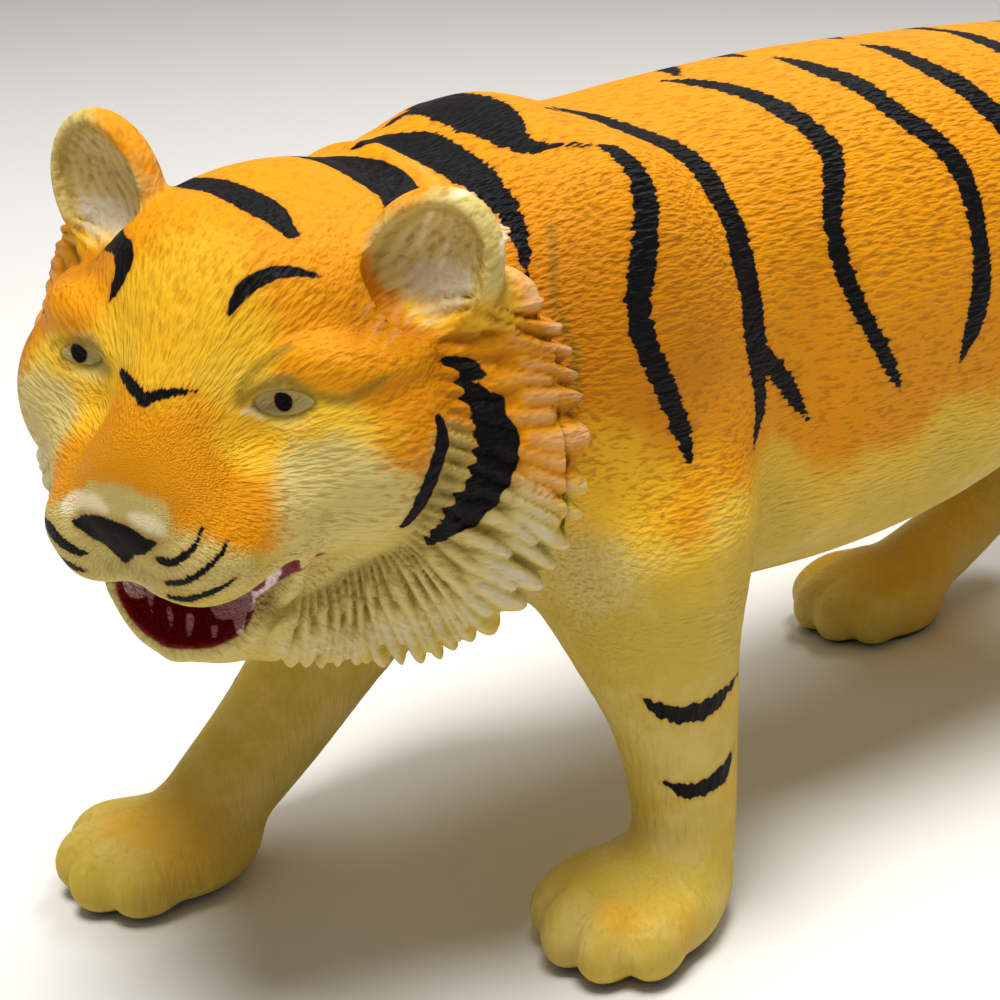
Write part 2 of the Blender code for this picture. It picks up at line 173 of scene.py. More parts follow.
# %% A block of clay
class Clay:
    """A block of distances in millimetres, on a grid of cells between two corners."""

    def __init__(self, low, high, cell, steps):
        self.cell = cell
        self.ticks = [np.arange(a, b + cell, cell, dtype=np.float32) for a, b in zip(low, high)]
        self.field = np.full([len(t) for t in self.ticks], 12.0, np.float32)
        for sign, (shape, lowest, highest), ease in steps:
            window = tuple(
                slice(max(np.searchsorted(t, a - ease - 2) - 1, 0), np.searchsorted(t, b + ease + 2) + 1)
                for t, a, b in zip(self.ticks, lowest, highest))
            part = self.field[window]
            if part.size:
                x, y, z = (t[w] for t, w in zip(self.ticks, window))
                gap = shape(x[:, None, None], y[None, :, None], z[None, None, :])
                self.field[window] = sign * ease_min(sign * part, gap, ease)

    def keep(self, gap):
        """Keeps only the clay where gap, a distance over the whole grid, is negative."""
        x, y, z = self.ticks
        self.field = np.maximum(self.field, gap(x[:, None, None], y[None, :, None], z[None, None, :]))
        return self

    def distance(self, points):
        """The distance at any points, blended from the eight corners of the cell around each."""
        q = [(points[:, i] - t[0]) / self.cell for i, t in enumerate(self.ticks)]
        q = [np.clip(a, 0, n - 1.001) for a, n in zip(q, self.field.shape)]
        i = [a.astype(int) for a in q]
        f = [a - b for a, b in zip(q, i)]
        total = 0
        for dx, dy, dz in np.ndindex(2, 2, 2):
            share = abs(1 - dx - f[0]) * abs(1 - dy - f[1]) * abs(1 - dz - f[2])
            total = total + share * self.field[i[0] + dx, i[1] + dy, i[2] + dz]
        return total

    def slope(self, points):
        """The direction in which the distance grows: the difference over half a cell each way."""
        e = 0.5 * self.cell
        rise = [self.distance(points + e * a) - self.distance(points - e * a) for a in np.eye(3)]
        return np.stack(rise, 1) / (2 * e)

    def drape(self, points, lift=0.0, rounds=8):
        """Lets points fall on the clay along its slope, to stay at the height lift over it."""
        p = np.array(points, float)
        for _ in range(rounds):
            g = self.slope(p)
            p -= 0.8 * ((self.distance(p) - lift) / np.maximum((g * g).sum(1), 0.2))[:, None] * g
        return p

    def skin(self):
        """The surface where the distance is nought, as points and four-sided faces that look outwards.

        Each cell that the surface passes gets one point, the mean of the places where it crosses the
        cell's twelve edges, and each grid edge that it crosses gets one face between its four cells."""
        inside = self.field < 0
        n = np.array(self.field.shape)
        corners = list(np.ndindex(2, 2, 2))
        windows = [tuple(slice(a, m - 1 + a) for a, m in zip(corner, n)) for corner in corners]
        filled = sum(inside[window].astype(np.int8) for window in windows)
        mixed = (filled > 0) & (filled < 8)
        number = np.full(n - 1, -1)
        cells = np.argwhere(mixed)
        number[mixed] = np.arange(len(cells))
        total, count = np.zeros((len(cells), 3)), np.zeros(len(cells))
        for axis in range(3):
            step = np.eye(3, dtype=int)[axis]
            for corner in corners:
                if corner[axis]:
                    continue
                a = cells + corner
                fa, fb = self.field[tuple(a.T)], self.field[tuple((a + step).T)]
                crossed = (fa < 0) != (fb < 0)
                along = np.where(crossed, fa / np.where(crossed, fa - fb, 1), 0)
                total[crossed] += (a + step * along[:, None])[crossed]
                count[crossed] += 1
        points = total / count[:, None] * self.cell + np.array([t[0] for t in self.ticks])
        faces = []
        for axis in range(3):
            u, v = np.eye(3, dtype=int)[[(axis + 1) % 3, (axis + 2) % 3]]
            here = tuple(slice(0 if i == axis else 1, n[i] - 1) for i in range(3))
            there = tuple(slice(1, n[i]) if i == axis else slice(1, n[i] - 1) for i in range(3))
            shift = np.array([s.start for s in here])
            for out, edge in ((1, inside[here] & ~inside[there]), (-1, ~inside[here] & inside[there])):
                p = np.argwhere(edge) + shift
                ring = np.stack([number[tuple((p - a).T)] for a in (u + v, v, 0 * u, u)], 1)
                faces.append(ring[:, ::out])
        return points, np.concatenate(faces)


# %% [markdown]
# ## The body
# The trunk of the toy is a plump barrel with a nearly straight back and a belly that rises to the loins.
# A row of stations gives its top, its underside and its half width, and the section between them is a
# slightly squared ellipse. Shoulders and haunches are ovals on its sides.

# %% Trunk
TRUNK = np.array([
    # y, top, low, half width
    (-66, 97, 58, 13), (-60, 101, 49, 20), (-50, 104.5, 41, 25), (-38, 102.5, 38, 26.5),
    (-20, 104, 36, 27.5), (0, 105.3, 35, 28), (20, 105.5, 36.5, 28), (38, 105.3, 40.5, 27),
    (56, 104.5, 45, 26), (74, 102, 50, 25.5), (90, 97, 54, 23.5), (101, 88, 60, 16), (107, 76, 68, 5)], float)


def trunk(x, y, z):
    """Across the body: the 2.25th powers of the offsets in half widths and half heights add up to one."""
    rows = curve(TRUNK, 200)
    top, low, half = (np.interp(y, rows[:, 0], rows[:, i]) for i in (1, 2, 3))
    middle, height = (top + low) / 2, (top - low) / 2
    out = (np.abs(x / half) ** 2.25 + np.abs((z - middle) / height) ** 2.25) ** (1 / 2.25)
    return np.maximum((out - 1) * np.minimum(half, height), np.maximum(rows[0, 0] - y, y - rows[-1, 0]))


press_on((trunk, np.array([-34, -70, 30]), np.array([34, 112, 110])), 0.5)
for side, lag, haunch_y in ((1, 0, 84), (-1, -5, 77)):
    press_on(oval((side * 16.5, -46, 75), (11.5, 14, 25)), 7)
    press_on(oval((side * 19, -41 + lag, 54), (10.5, 13, 18)), 7)
    press_on(sausage([(side * 11, -53, 92, 4.5), (side * 15, -48, 80, 5.5), (side * 18, -41, 64, 6)]), 6)
    press_on(oval((side * 16, haunch_y, 68), (13, 21, 28)), 9)
    cut_out(oval((side * 33, -22, 66), (5.5, 7, 26)), 7)
    cut_out(oval((side * 33, 52, 66), (5.5, 10, 22)), 8)
print("steps for the trunk:", len(STEPS))

# %% [markdown]
# ## Legs and tail
# Each leg is one sausage along its bones, and the tail another. The photograph shows how the four legs are
# set in the walk; the left hind leg stands beyond its edge and follows the order of a walking cat.

# %% Legs and tail
LEGS = {
    "left fore": [(20.5, -43, 52, 12.5), (22, -41.5, 40, 10.4), (23, -39.5, 31, 8.5), (23.5, -38, 22, 7.3),
                  (23.8, -37.2, 13, 6.7), (24, -38, 7, 6.9)],
    "right fore": [(-20, -46, 52, 12.5), (-22, -52, 40, 10.8), (-23.5, -61.5, 27, 8.6), (-24, -69.5, 18, 7.6),
                   (-24.5, -78, 10, 7.0), (-24.5, -81, 7, 7.0)],
    "right hind": [(-18, 80, 62, 17), (-20, 73, 47, 12.5), (-21, 79, 36, 9.0), (-22, 89.5, 26, 6.9),
                   (-22, 84, 19, 6.4), (-22, 72, 12, 6.4), (-22, 62, 8, 6.8)],
    "left hind": [(18, 86, 62, 17), (21, 84, 47, 12.5), (22, 92, 38, 9.0), (23, 106, 28, 6.7),
                  (23, 107, 20, 6.3), (23, 105, 10, 6.4), (23, 103, 7, 6.8)]}
TAIL = [(0, 96, 87, 7), (0, 100, 86, 7), (0, 110, 77, 6), (2, 117, 64, 5.2), (5, 121, 50, 4.6),
        (8, 126, 38, 4.3), (10, 134, 29, 4.2), (10, 145, 25, 4.4), (9, 156, 28, 3.2)]

for stations in LEGS.values():
    press_on(sausage(stations, 4), 6)
press_on(oval((-22, 93, 26), (4, 4, 5)), 3)
press_on(oval((23, 109.5, 28), (4, 4, 5)), 3)
press_on(sausage(TAIL, 4), 5)
print("steps for body, legs and tail:", len(STEPS))

# %% [markdown]
# ## Paws
# The paws are broad pads with four soft toes, parted only by shallow furrows. A smaller pad underneath
# keeps the toes a little off the ground, which gives a line of shadow under each paw; the paint adds to it
# with dark soles and painted shadow near the ground.

# %% Paws
PAWS = {"left fore": (25, -46.5, 14, 11.5, 13.5, 11.5), "right fore": (-24.2, -86.8, -6, 11.3, 12.8, 10.5),
        "right hind": (-22, 51, -4, 11.5, 13.5, 13), "left hind": (23.5, 96, 4, 11.5, 13.5, 12.5)}


def paw(x, y, heading, wide, long, tall):
    """A flattened oval with four small ovals set round its front on an arc."""
    t = np.radians(heading)
    ahead, aside = np.array([np.sin(t), -np.cos(t), 0]), np.array([np.cos(t), np.sin(t), 0])
    axes = np.array([aside, ahead, [0, 0, 1.0]])

    def at(a, b, c):
        return np.array([x, y, c]) + a * aside + b * ahead

    press_on(oval(at(0, -1, 4.8), (wide * 0.90, long * 0.93, tall - 4.7), axes), 3)
    for a, b, r in ((-7.4, 5.6, 4.3), (-2.7, 8.9, 4.8), (2.7, 9.1, 4.8), (7.3, 6.0, 4.3)):
        a, b = a * wide / 11.5, b * long / 13.5
        press_on(oval(at(a, b, 5.0), (r * 0.80, r * 1.25, r * 1.10), axes), 1.1)
        press_on(oval(at(a, b - 3.5, tall * 0.62), (r * 0.62, r * 1.2, r * 0.62), axes), 1.5)


for numbers in PAWS.values():
    paw(*numbers)
print("steps with", len(PAWS), "paws:", len(STEPS))

# %% [markdown]
# ## The head
# The head is turned a quarter of the way to the tiger's left and tips a little. All its details are written
# in the head's own directions, left, forward and up, from the middle between the eyes, so that a detail can
# be given once and pressed on at both sides.

# %% The head's own directions
def head_directions(turn=27.5, tilt=4.4):
    """Left, forward and up as rows: a turn about the vertical, then a roll about the nose."""
    t, r = np.radians([turn, tilt])
    ahead, level = np.array([np.sin(t), -np.cos(t), 0]), np.array([np.cos(t), np.sin(t), 0])
    up = np.array([0, 0, 1.0])
    return np.array([np.cos(r) * level - np.sin(r) * up, ahead, np.sin(r) * level + np.cos(r) * up])


BETWEEN_EYES = np.array([12.9, -100.7, 83.2])
HEAD = head_directions()
SIDES = (1, -1)


def from_head(places):
    """Places given as left, forward and up of the head, on the stand. A fourth number is a radius."""
    q = np.asarray(places, float)
    return np.concatenate([BETWEEN_EYES + q[..., :3] @ HEAD, q[..., 3:]], -1)


def in_head(points):
    """Points of the stand in the head's own directions."""
    return (points - BETWEEN_EYES) @ HEAD.T


def mirrored(places, side):
    """The same places on the other cheek when side is -1."""
    q = np.array(places, float)
    q[..., 0] *= side
    return q


def head_oval(place, radii, ease, work=press_on, axes=HEAD):
    """An oval given in the head's directions, pressed on unless the work is cut_out."""
    work(oval(from_head(place), radii, axes), ease)


def head_roll(places, ease, work=press_on, spans=3):
    """A roll given in the head's directions."""
    work(sausage(from_head(places), spans), ease)


# %% Skull, muzzle, jaw and the mass of the ruff
press_on(sausage([(0, -56, 74, 25), (*from_head((0, -26, -5)), 22)], 1), 9)
head_oval((0, -20, -2), (23.5, 21, 18.0), 5)
head_oval((0, -9.5, 6.5), (13.0, 9, 9.0), 5)
for side in SIDES:
    head_oval((side * 14.5, -12, -8), (12.5, 11.5, 12.0), 4)
head_roll([(0, -5, 1, 7.6), (0, 4.5, -11, 7.0)], 4, spans=1)
for side in SIDES:
    head_oval((side * 12.4, -6.5, -2.0), (6.5, 5.6, 6.0), 3)
head_oval((0, 2, -13), (11.0, 8.0, 7.0), 4)
for side in SIDES:
    head_oval((side * 6.2, 4.8, -16.0), (6.4, 5.8, 5.6), 2)
head_oval((0, -8.5, -26.5), (10.5, 11, 9.0), 3)
for side in SIDES:
    head_oval((side * 11.0, -2.5, -12.5), (5.5, 6.0, 6.0), 4)
    head_oval((side * 8.3, -8.5, -21.5), (5.2, 7.5, 7.0), 3)
    head_oval((side * 24, -22, -10), (6.8, 8.4, 15.5), 4)
    head_oval((side * 17, -20, -21.5), (9, 8.6, 9.2), 4)
    head_oval((side * 9, -20, -27.2), (7.5, 8.6, 7.2), 4)
print("steps with the head:", len(STEPS))

# %% [markdown]
# ## The ruff
# A collar of fur frames the face from the chin to the ears. The sculptor of the toy laid one thick collar
# and combed it into tapered locks that overlap like shingles. The collar is clay again: ribs run from the
# cheek to the rim and a roll closes the rim. The locks are combed into its mesh later on.

# %% Collar
CHEEK_LINE = np.array([
    (13, -2.5, -23), (14, -7.5, -23.3), (16.5, -9, -21.3), (20, -7.8, -18), (22.3, -7, -15.5),
    (24, -6.6, -13), (25, -6.6, -10.6), (25.8, -7.4, -8.2), (26, -8.4, -5.6), (25.5, -9.8, -2.8),
    (24, -11.5, 0.3), (22, -13, 3.6), (20, -14.5, 5.6), (18, -15.5, 7.6)])
RUFF_RIM = np.array([
    (5.8, -11, -33.7), (10.2, -14, -34.2), (15.9, -17, -34.0), (21.3, -19, -32.7), (27.2, -21, -28.6),
    (29.8, -22.5, -24.9), (31.4, -24, -21.4), (32.9, -25, -17.5), (33.0, -25.7, -14.1),
    (33.2, -26.2, -9.4), (31.5, -26.5, -4.0), (30.2, -26, 0.4), (28.5, -24.8, 4.7), (26.5, -23, 8.0)])
COLLAR_THICK = 2.1
outward = RUFF_RIM - CHEEK_LINE
outward /= np.linalg.norm(outward, axis=1, keepdims=True)
rim_roll = np.column_stack([RUFF_RIM - COLLAR_THICK * outward, np.full(len(RUFF_RIM), COLLAR_THICK)])
for side in SIDES:
    head_roll(mirrored(rim_roll, side), 3.5)
    for base, (*tip, thick) in zip(CHEEK_LINE, rim_roll):
        root = [base[0] * 0.86, base[1] - 2.5, base[2] + (1.0 if base[2] < -15 else 0.0), 1.6]
        head_roll(mirrored([root, (*tip, thick)], side), 3.5, spans=1)
print("steps with the collar:", len(STEPS))

# %% A rough bust to lay the lids on
bust = Clay((-38, -124, 36), (46, -52, 112), 0.9, STEPS)
print("bust of", bust.field.shape, "points")

# %% [markdown]
# ## Eyes, nose and mouth
# The eyes are nearly flush with the face: a shallow almond, a ball set into it and two ridges for lids,
# under a heavy brow. The mouth stands open; it is cut out of the jaw, with a rolled lip round it.

# %% Eyes
UPPER_LID = [(8.0, -0.8, 0.4, 1.0), (10.6, -1.4, 2.3, 1.9), (14.4, -2.0, 3.3, 2.6), (18.6, -4.0, 3.4, 2.7),
             (21.6, -7.0, 4.2, 2.0), (23.5, -10.0, 5.2, 1.2)]
lid = np.array(UPPER_LID)
lid[:, :3] = in_head(bust.drape(from_head(lid[:, :3])))
lid[:, 1] -= 0.45 * lid[:, 3]
print("upper lid laid at", lid.round(1).tolist())
for side in SIDES:
    head_roll(mirrored(lid, side), 2.2)
    head_oval((side * 12.4, 0.9, -1.1), (4.0, 2.2, 1.9), 0.8, cut_out)
    head_oval((side * 12.4, -5.9, -1.0), (4.8, 4.8, 4.6), 0.3)

# %% Nose
head_oval((0, 8.8, -12.4), (5.5, 3.4, 2.8), 1.5)
for side in SIDES:
    head_oval((side * 3.4, 12.3, -14.2), (1.1, 1.0, 0.6), 0.6, cut_out)
head_roll([(0, 12.4, -14.0, 0.35), (0, 11.2, -17.0, 0.5), (0, 10.0, -20.5, 0.7)], 0.7, cut_out)
print("steps with the nose:", len(STEPS))

# %% Mouth
LOWER_LIP = [(14.6, -0.4, -16.0, 1.0), (13.0, -1.4, -20.0, 1.3), (10.6, -2.0, -24.5, 1.4),
             (7.4, -1.2, -28.4, 1.4), (3.8, 0.0, -30.6, 1.3), (0, 0.6, -31.0, 1.3)]
UPPER_LIP = [(0, 8.2, -18.4, 1.2), (3.5, 8.4, -19.5, 1.4), (7.2, 7.2, -19.8, 1.5), (10.4, 4.4, -18.0, 1.5),
             (13.0, 1.8, -15.8, 1.4), (15.0, -0.4, -14.4, 1.1)]
MOUTH_CORNER = [(4, 0.5, -24.2, 3.4), (9.6, 1.5, -21.6, 2.7), (13.6, 0.6, -17.6, 1.0)]
for side in SIDES:
    head_roll(mirrored(LOWER_LIP, side), 1.5)
    head_roll(mirrored(UPPER_LIP, side), 1.5)
head_oval((0, 0.5, -25.2), (8.2, 9, 4.7), 0.6, cut_out)
for side in SIDES:
    head_roll(mirrored(MOUTH_CORNER, side), 0.6, cut_out)
print("steps with the mouth:", len(STEPS))

# %% Ears
EARS = {1: (19.4, -17, 11.0), -1: (-20.4, -17, 12.7)}
EAR_TURN, EAR_LEAN = np.radians([9, 30])


def ear_axes(side):
    """Across, ahead and along an ear: the head's directions turned outward, then leant outward."""
    left, ahead, up = HEAD
    t, lean = side * EAR_TURN, side * EAR_LEAN
    left, ahead = np.cos(t) * left - np.sin(t) * ahead, np.sin(t) * left + np.cos(t) * ahead
    return np.array([np.cos(lean) * left - np.sin(lean) * up, ahead, np.sin(lean) * left + np.cos(lean) * up])


for side, centre in EARS.items():
    axes = ear_axes(side)
    facing = in_head(BETWEEN_EYES + axes[1])
    head_oval(centre, (7.6, 4.0, 9.2), 1.6, axes=axes)
    head_oval(np.array(centre) + 2.9 * facing, (6.2, 3.6, 7.8), 0.7, cut_out, axes)
    head_oval(np.array(centre) + [-1.5 * side, 0.6, -7.6], (4.6, 3.0, 3.2), 1.5)
print("steps in all:", len(STEPS))

# %% [markdown]
# ## The four pieces
# One block fine enough for the eyelids would be far too large for the whole animal, and the face needs more
# faces than the flanks do. So the skin is taken off in four blocks, from 0.4 to 0.7 mm a cell. Each block is
# cut a little past its neighbour, where the cut hides inside the neighbour's clay.

# %% Blocks and the planes between them
FACE_BACK, SHOULDER_Y, WAIST_Y, CHEST_Z, LAP = -23.5, -61.0, 20.0, 40.0, 0.8


def behind_face(x, y, z):
    """How far a point lies in front of the plane between face and mane, with the sign turned."""
    ahead = (x - BETWEEN_EYES[0]) * HEAD[1][0] + (y - BETWEEN_EYES[1]) * HEAD[1][1] + 0 * z
    return FACE_BACK - ahead


def behind_mane(x, y, z):
    """Negative in the box before the shoulders and above the chest, where head and neck are."""
    return np.maximum(y - SHOULDER_Y, CHEST_Z - z) + 0 * x


def behind_waist(x, y, z):
    """How far a point lies before the cut through the waist."""
    return WAIST_Y - y + 0 * x + 0 * z


def on_ground(x, y, z):
    """Negative above the ground."""
    return -z + 0 * x + 0 * y


def both(*gaps):
    """Where all the gaps are negative: the largest of them at each point."""
    return lambda x, y, z: np.maximum.reduce(np.broadcast_arrays(*[gap(x, y, z) for gap in gaps]))


def less(gap):
    """The other side of a cut: its distance with the sign turned."""
    return lambda x, y, z: -gap(x, y, z)


def moved(gap, by):
    """A cut that leaves more clay, by so many millimetres."""
    return lambda x, y, z: gap(x, y, z) - by


BLOCKS = {
    "face": ((-36, -124, 38), (46, -66, 112), 0.42, both(moved(behind_face, LAP), on_ground)),
    "mane": ((-36, -124, 38), (46, -58, 112), 0.50,
             both(moved(less(behind_face), LAP), moved(behind_mane, LAP))),
    "forequarters": ((-46, -104, -2), (46, 24, 112), 0.70,
                     both(moved(less(behind_mane), LAP), moved(less(behind_waist), LAP), on_ground)),
    "hindquarters": ((-46, 16, -2), (46, 164, 112), 0.70, both(moved(behind_waist, LAP), on_ground)),
}

# %% Taking off the skins
SKINS = {}
for name, (low, high, cell, gap) in BLOCKS.items():
    block = Clay(low, high, cell, STEPS).keep(gap)
    points, faces = block.skin()
    points = block.drape(points, 0.0, 2)
    SKINS[name] = (points, faces)
    print(name, "block of", block.field.shape, "gives", 2 * len(faces), "triangles")

# %% [markdown]
# ## Marks on the surface
# The stripes of the toy are brushed on by hand, each one different, so they are read off the photograph:
# each is a line of places in the picture with a width. A ray from the camera through each place finds the
# clay, so that the stripe lies on the surface and stays there from any side.

# %% Rays onto a coarse maquette
maquette = Clay((-46, -124, -2), (46, 164, 112), 1.0, STEPS).keep(on_ground)


def on_clay(places):
    """The clay behind places of the picture: rays walk on by the distance until they touch it."""
    q = np.asarray(places, float)
    rays = FOCAL * AHEAD + (q[:, :1] - IMAGE / 2) * RIGHT + (IMAGE / 2 - q[:, 1:2]) * OVERHEAD
    rays /= np.linalg.norm(rays, axis=1, keepdims=True)
    reach = np.full(len(q), 120.0)
    nearest, best = np.full(len(q), 99.0), reach.copy()
    for _ in range(160):
        gap = maquette.distance(EYE_POINT + reach[:, None] * rays)
        better = gap < nearest
        nearest, best = np.where(better, gap, nearest), np.where(better, reach, best)
        reach = reach + np.where(nearest < 0.05, 0, np.clip(0.7 * gap, 0.15, 6))
    return maquette.drape(EYE_POINT + best[:, None] * rays)


# %% Stripes read from the picture: x, y and the width, all in pixels
STRIPES = {
    "crown": [(156, 184, 3), (172, 183, 8), (190, 182, 12), (221, 187, 18), (249, 199, 20), (273, 214, 19),
              (291, 233, 12)],
    "right brow": [(103, 226, 5), (113, 238, 13), (122, 250, 16), (124, 262, 15), (119, 278, 11),
                   (113, 293, 6), (109, 302, 2)],
    "left brow": [(229, 314, 5), (237, 300, 14), (251, 284, 17), (273, 274, 14), (297, 272, 10),
                  (322, 277, 2)],
    "frown left arm": [(121, 372, 5), (132, 386, 11), (144, 400, 12)],
    "frown right arm": [(143, 401, 12), (158, 395, 11), (178, 392, 7), (197, 392, 2)],
    "first nape": [(266, 150, 2), (300, 155, 15), (336, 161, 26), (368, 173, 31), (395, 189, 28),
                   (414, 201, 10)],
    "second nape": [(350, 149, 2), (380, 139, 14), (419, 145, 28), (455, 163, 33), (479, 179, 30),
                    (502, 203, 24), (518, 230, 19), (524, 256, 13), (527, 278, 4)],
    "shoulder nape": [(386, 126, 3), (407, 112, 15), (435, 107, 22), (470, 117, 27), (502, 132, 26),
                      (526, 146, 16), (550, 146, 5), (585, 144, 3), (604, 146, 5), (624, 157, 14),
                      (641, 181, 21), (647, 212, 24), (645, 245, 26), (640, 279, 26), (639, 313, 25),
                      (645, 341, 25), (658, 371, 23), (672, 402, 21), (683, 433, 16), (691, 462, 6)],
    "first side": [(548, 108, 2), (572, 111, 10), (597, 118, 15), (630, 130, 16), (672, 147, 17),
                   (700, 169, 18), (720, 200, 19), (734, 228, 20), (742, 262, 22), (751, 298, 21),
                   (754, 327, 21), (757, 352, 19), (759, 377, 14), (760, 411, 10), (754, 446, 2)],
    "first side branch": [(757, 345, 14), (768, 360, 17), (782, 376, 16), (796, 400, 13), (808, 418, 4)],
    "second side": [(662, 80, 3), (695, 82, 12), (728, 88, 14), (762, 99, 16), (793, 116, 17),
                    (815, 133, 19), (831, 153, 22), (834, 181, 21), (832, 212, 18), (836, 240, 17),
                    (843, 268, 18), (857, 301, 17), (871, 329, 16), (886, 357, 15), (901, 389, 4)],
    "third side": [(776, 57, 4), (800, 63, 13), (824, 71, 17), (860, 85, 18), (897, 113, 17),
                   (930, 136, 18), (956, 164, 19), (970, 192, 18), (978, 228, 17), (982, 262, 17),
                   (981, 296, 18), (972, 329, 15), (960, 362, 3)],
    "fourth side": [(862, 44, 4), (890, 50, 15), (915, 61, 19), (940, 73, 20), (968, 90, 20),
                    (1002, 121, 20), (1030, 155, 19), (1050, 200, 18), (1058, 250, 17), (1054, 300, 13),
                    (1044, 335, 3)],
    "fifth side": [(930, 28, 4), (960, 33, 14), (990, 43, 18), (1030, 62, 19), (1072, 92, 19),
                   (1105, 130, 18), (1128, 180, 18), (1136, 235, 17), (1132, 285, 12), (1122, 318, 3)],
    "sixth side": [(1000, 20, 3), (1035, 28, 12), (1080, 46, 17), (1128, 78, 18), (1168, 122, 18),
                   (1194, 176, 17), (1204, 232, 15), (1200, 290, 3)],
    "ruff patch": [(448, 360, 7), (458, 364, 14), (471, 371, 19), (484, 376, 13), (497, 380, 4)],
    "ruff patch two": [(464, 385, 7), (473, 392, 20), (484, 404, 30), (494, 424, 40), (499, 448, 45),
                       (492, 475, 42), (478, 499, 36), (459, 519, 28), (440, 535, 14), (430, 543, 4)],
    "cheek line": [(439, 418, 5), (442, 428, 9), (443, 444, 12), (436, 467, 12), (427, 491, 11),
                   (415, 513, 8), (403, 527, 3)],
    "left leg upper": [(643, 698, 3), (660, 710, 13), (684, 715, 18), (708, 708, 15), (724, 694, 9),
                       (738, 674, 2)],
    "left leg lower": [(665, 783, 3), (679, 789, 11), (697, 790, 15), (716, 780, 13), (727, 765, 9),
                       (733, 747, 2)],
    "whisker one": [(157, 559, 4), (165, 562, 8), (174, 562, 8), (190, 552, 7), (198, 540, 4),
                    (203, 526, 2)],
    "whisker two": [(165, 583, 3), (175, 583, 5), (187, 581, 6), (205, 570, 6), (219, 557, 5),
                    (228, 541, 2)],
    "whisker three": [(169, 597, 3), (182, 599, 5), (194, 598, 5), (217, 590, 5), (236, 578, 2)],
    "far whisker one": [(44, 521, 4), (50, 530, 8), (60, 541, 8), (74, 550, 8), (85, 553, 4)],
    "far whisker two": [(54, 552, 3), (71, 566, 5), (86, 571, 2)],
    "far whisker three": [(66, 570, 3), (86, 583, 3)],
    "nose": [(74, 522, 5), (86, 526, 12), (99, 532, 18), (112, 538, 22), (128, 543, 22), (142, 544, 14),
             (154, 543, 5)],
    "nose tip": [(112, 540, 20), (120, 550, 14), (124, 560, 4)],
}

LEAST_PER_MM = 4.6


def brushed(places, per_span=6):
    """A smooth stroke on the clay, with half its width at each point.

    Both edges of the stroke are thrown on the clay beside its middle, so a width seen at a slant comes out
    at its real size: half the distance between the two edges. It is held to what the stroke's width
    would be where a millimetre covers the fewest pixels, LEAST_PER_MM."""
    line = curve(places, per_span * (len(places) - 1) + 1)
    middle, width = line[:, :2], np.maximum(line[:, 2:], 1.5)
    along = np.gradient(middle, axis=0)
    along /= np.linalg.norm(along, axis=1, keepdims=True)
    edge = 0.5 * width * np.column_stack([-along[:, 1], along[:, 0]])
    one, centre, two = on_clay(middle - edge), on_clay(middle), on_clay(middle + edge)
    half = np.minimum(0.5 * np.linalg.norm(one - two, axis=1), 0.5 * width[:, 0] / LEAST_PER_MM)
    return np.column_stack([centre, half])


MARKS = {name: brushed(places) for name, places in STRIPES.items()}
print("marks from the picture:", len(MARKS))

# %% [markdown]
# The far side and the rump are out of the picture. The far flank gets the same kind of stripes, mirrored and
# shifted along the body so that they don't meet like wallpaper, and the haunches, hind legs and tail get
# rings by a rule: evenly spaced, thickest on the outer side, thin at both ends.

# %% Stripes of the unseen sides
def across(line, shift, grow):
    """A mark on the other flank: x turned round, moved along the body more the lower it is."""
    far = line.copy()
    far[:, 0] = -far[:, 0]
    far[:, 1] += shift + grow * (100 - far[:, 2]) / 60
    far[:, :3] = maquette.drape(far[:, :3])
    return far


SHIFTED = {  # millimetres towards the tail, and how many more for each 60 mm further down
    "shoulder nape": (3, 4), "first side": (-2, 5), "first side branch": (-2, 5), "second side": (3, -3),
    "third side": (-2, 4), "fourth side": (2, 4), "fifth side": (-1, -3), "sixth side": (2, 3),
    "left leg upper": (-8, 0)}
for name, (shift, grow) in SHIFTED.items():
    MARKS["far " + name] = across(MARKS[name], shift, grow)
for name in ("ruff patch", "ruff patch two", "cheek line"):
    far = MARKS[name].copy()
    far[:, :3] = maquette.drape(from_head(in_head(far[:, :3]) * [-1, 1, 1]))
    MARKS["far " + name] = far


# %% Rings of the rump, legs and tail
RUMP_STRIPES = [  # place along the back, height of the lower end, lean towards the tail
    (58, 52, 6), (69, 44, 8), (80, 38, 8), (90, 50, 8), (99, 62, 5)]
RUMP_WIDTH, FAR_JOG = 3.6, 4
LIMB, TAIL_ROUND = (1.2, 1.3, 1.25), (2.6, 1.6, 0.5)
RINGS = {  # the limb, where on it the bands are, and their half angle, half width and taper
    "left hind": (LEGS["left hind"], (0.44, 0.58), LIMB),
    "right hind": (LEGS["right hind"], (0.42, 0.56), LIMB),
    "right fore": (LEGS["right fore"], (0.56,), LIMB),
    "tail": (TAIL, (0.2, 0.3, 0.4, 0.5, 0.6, 0.7, 0.8, 0.9, 1.0), TAIL_ROUND),
}


def hoop(y, low, side, lean):
    """A stripe on one side of the rump, from the back line down to a height, leaning to the tail."""
    t = np.linspace(0, 1, 14)
    top = 104.5 - 0.02 * (y - 50) ** 1.5 / 10
    out = 31 * np.sin(np.clip(t * 2.2, 0, np.pi / 2))
    back = y + (0 if side > 0 else FAR_JOG)
    line = np.column_stack([side * np.maximum(out, 1.0),
                            back + lean * t ** 1.5 + 2.0 * np.sin(5 * t + back), top + (low - top) * t])
    half = 0.5 * RUMP_WIDTH * np.sin(np.pi * np.clip(0.12 + 0.86 * t, 0, 1)) ** 0.7
    return np.column_stack([maquette.drape(line, 0.0, 14), half])


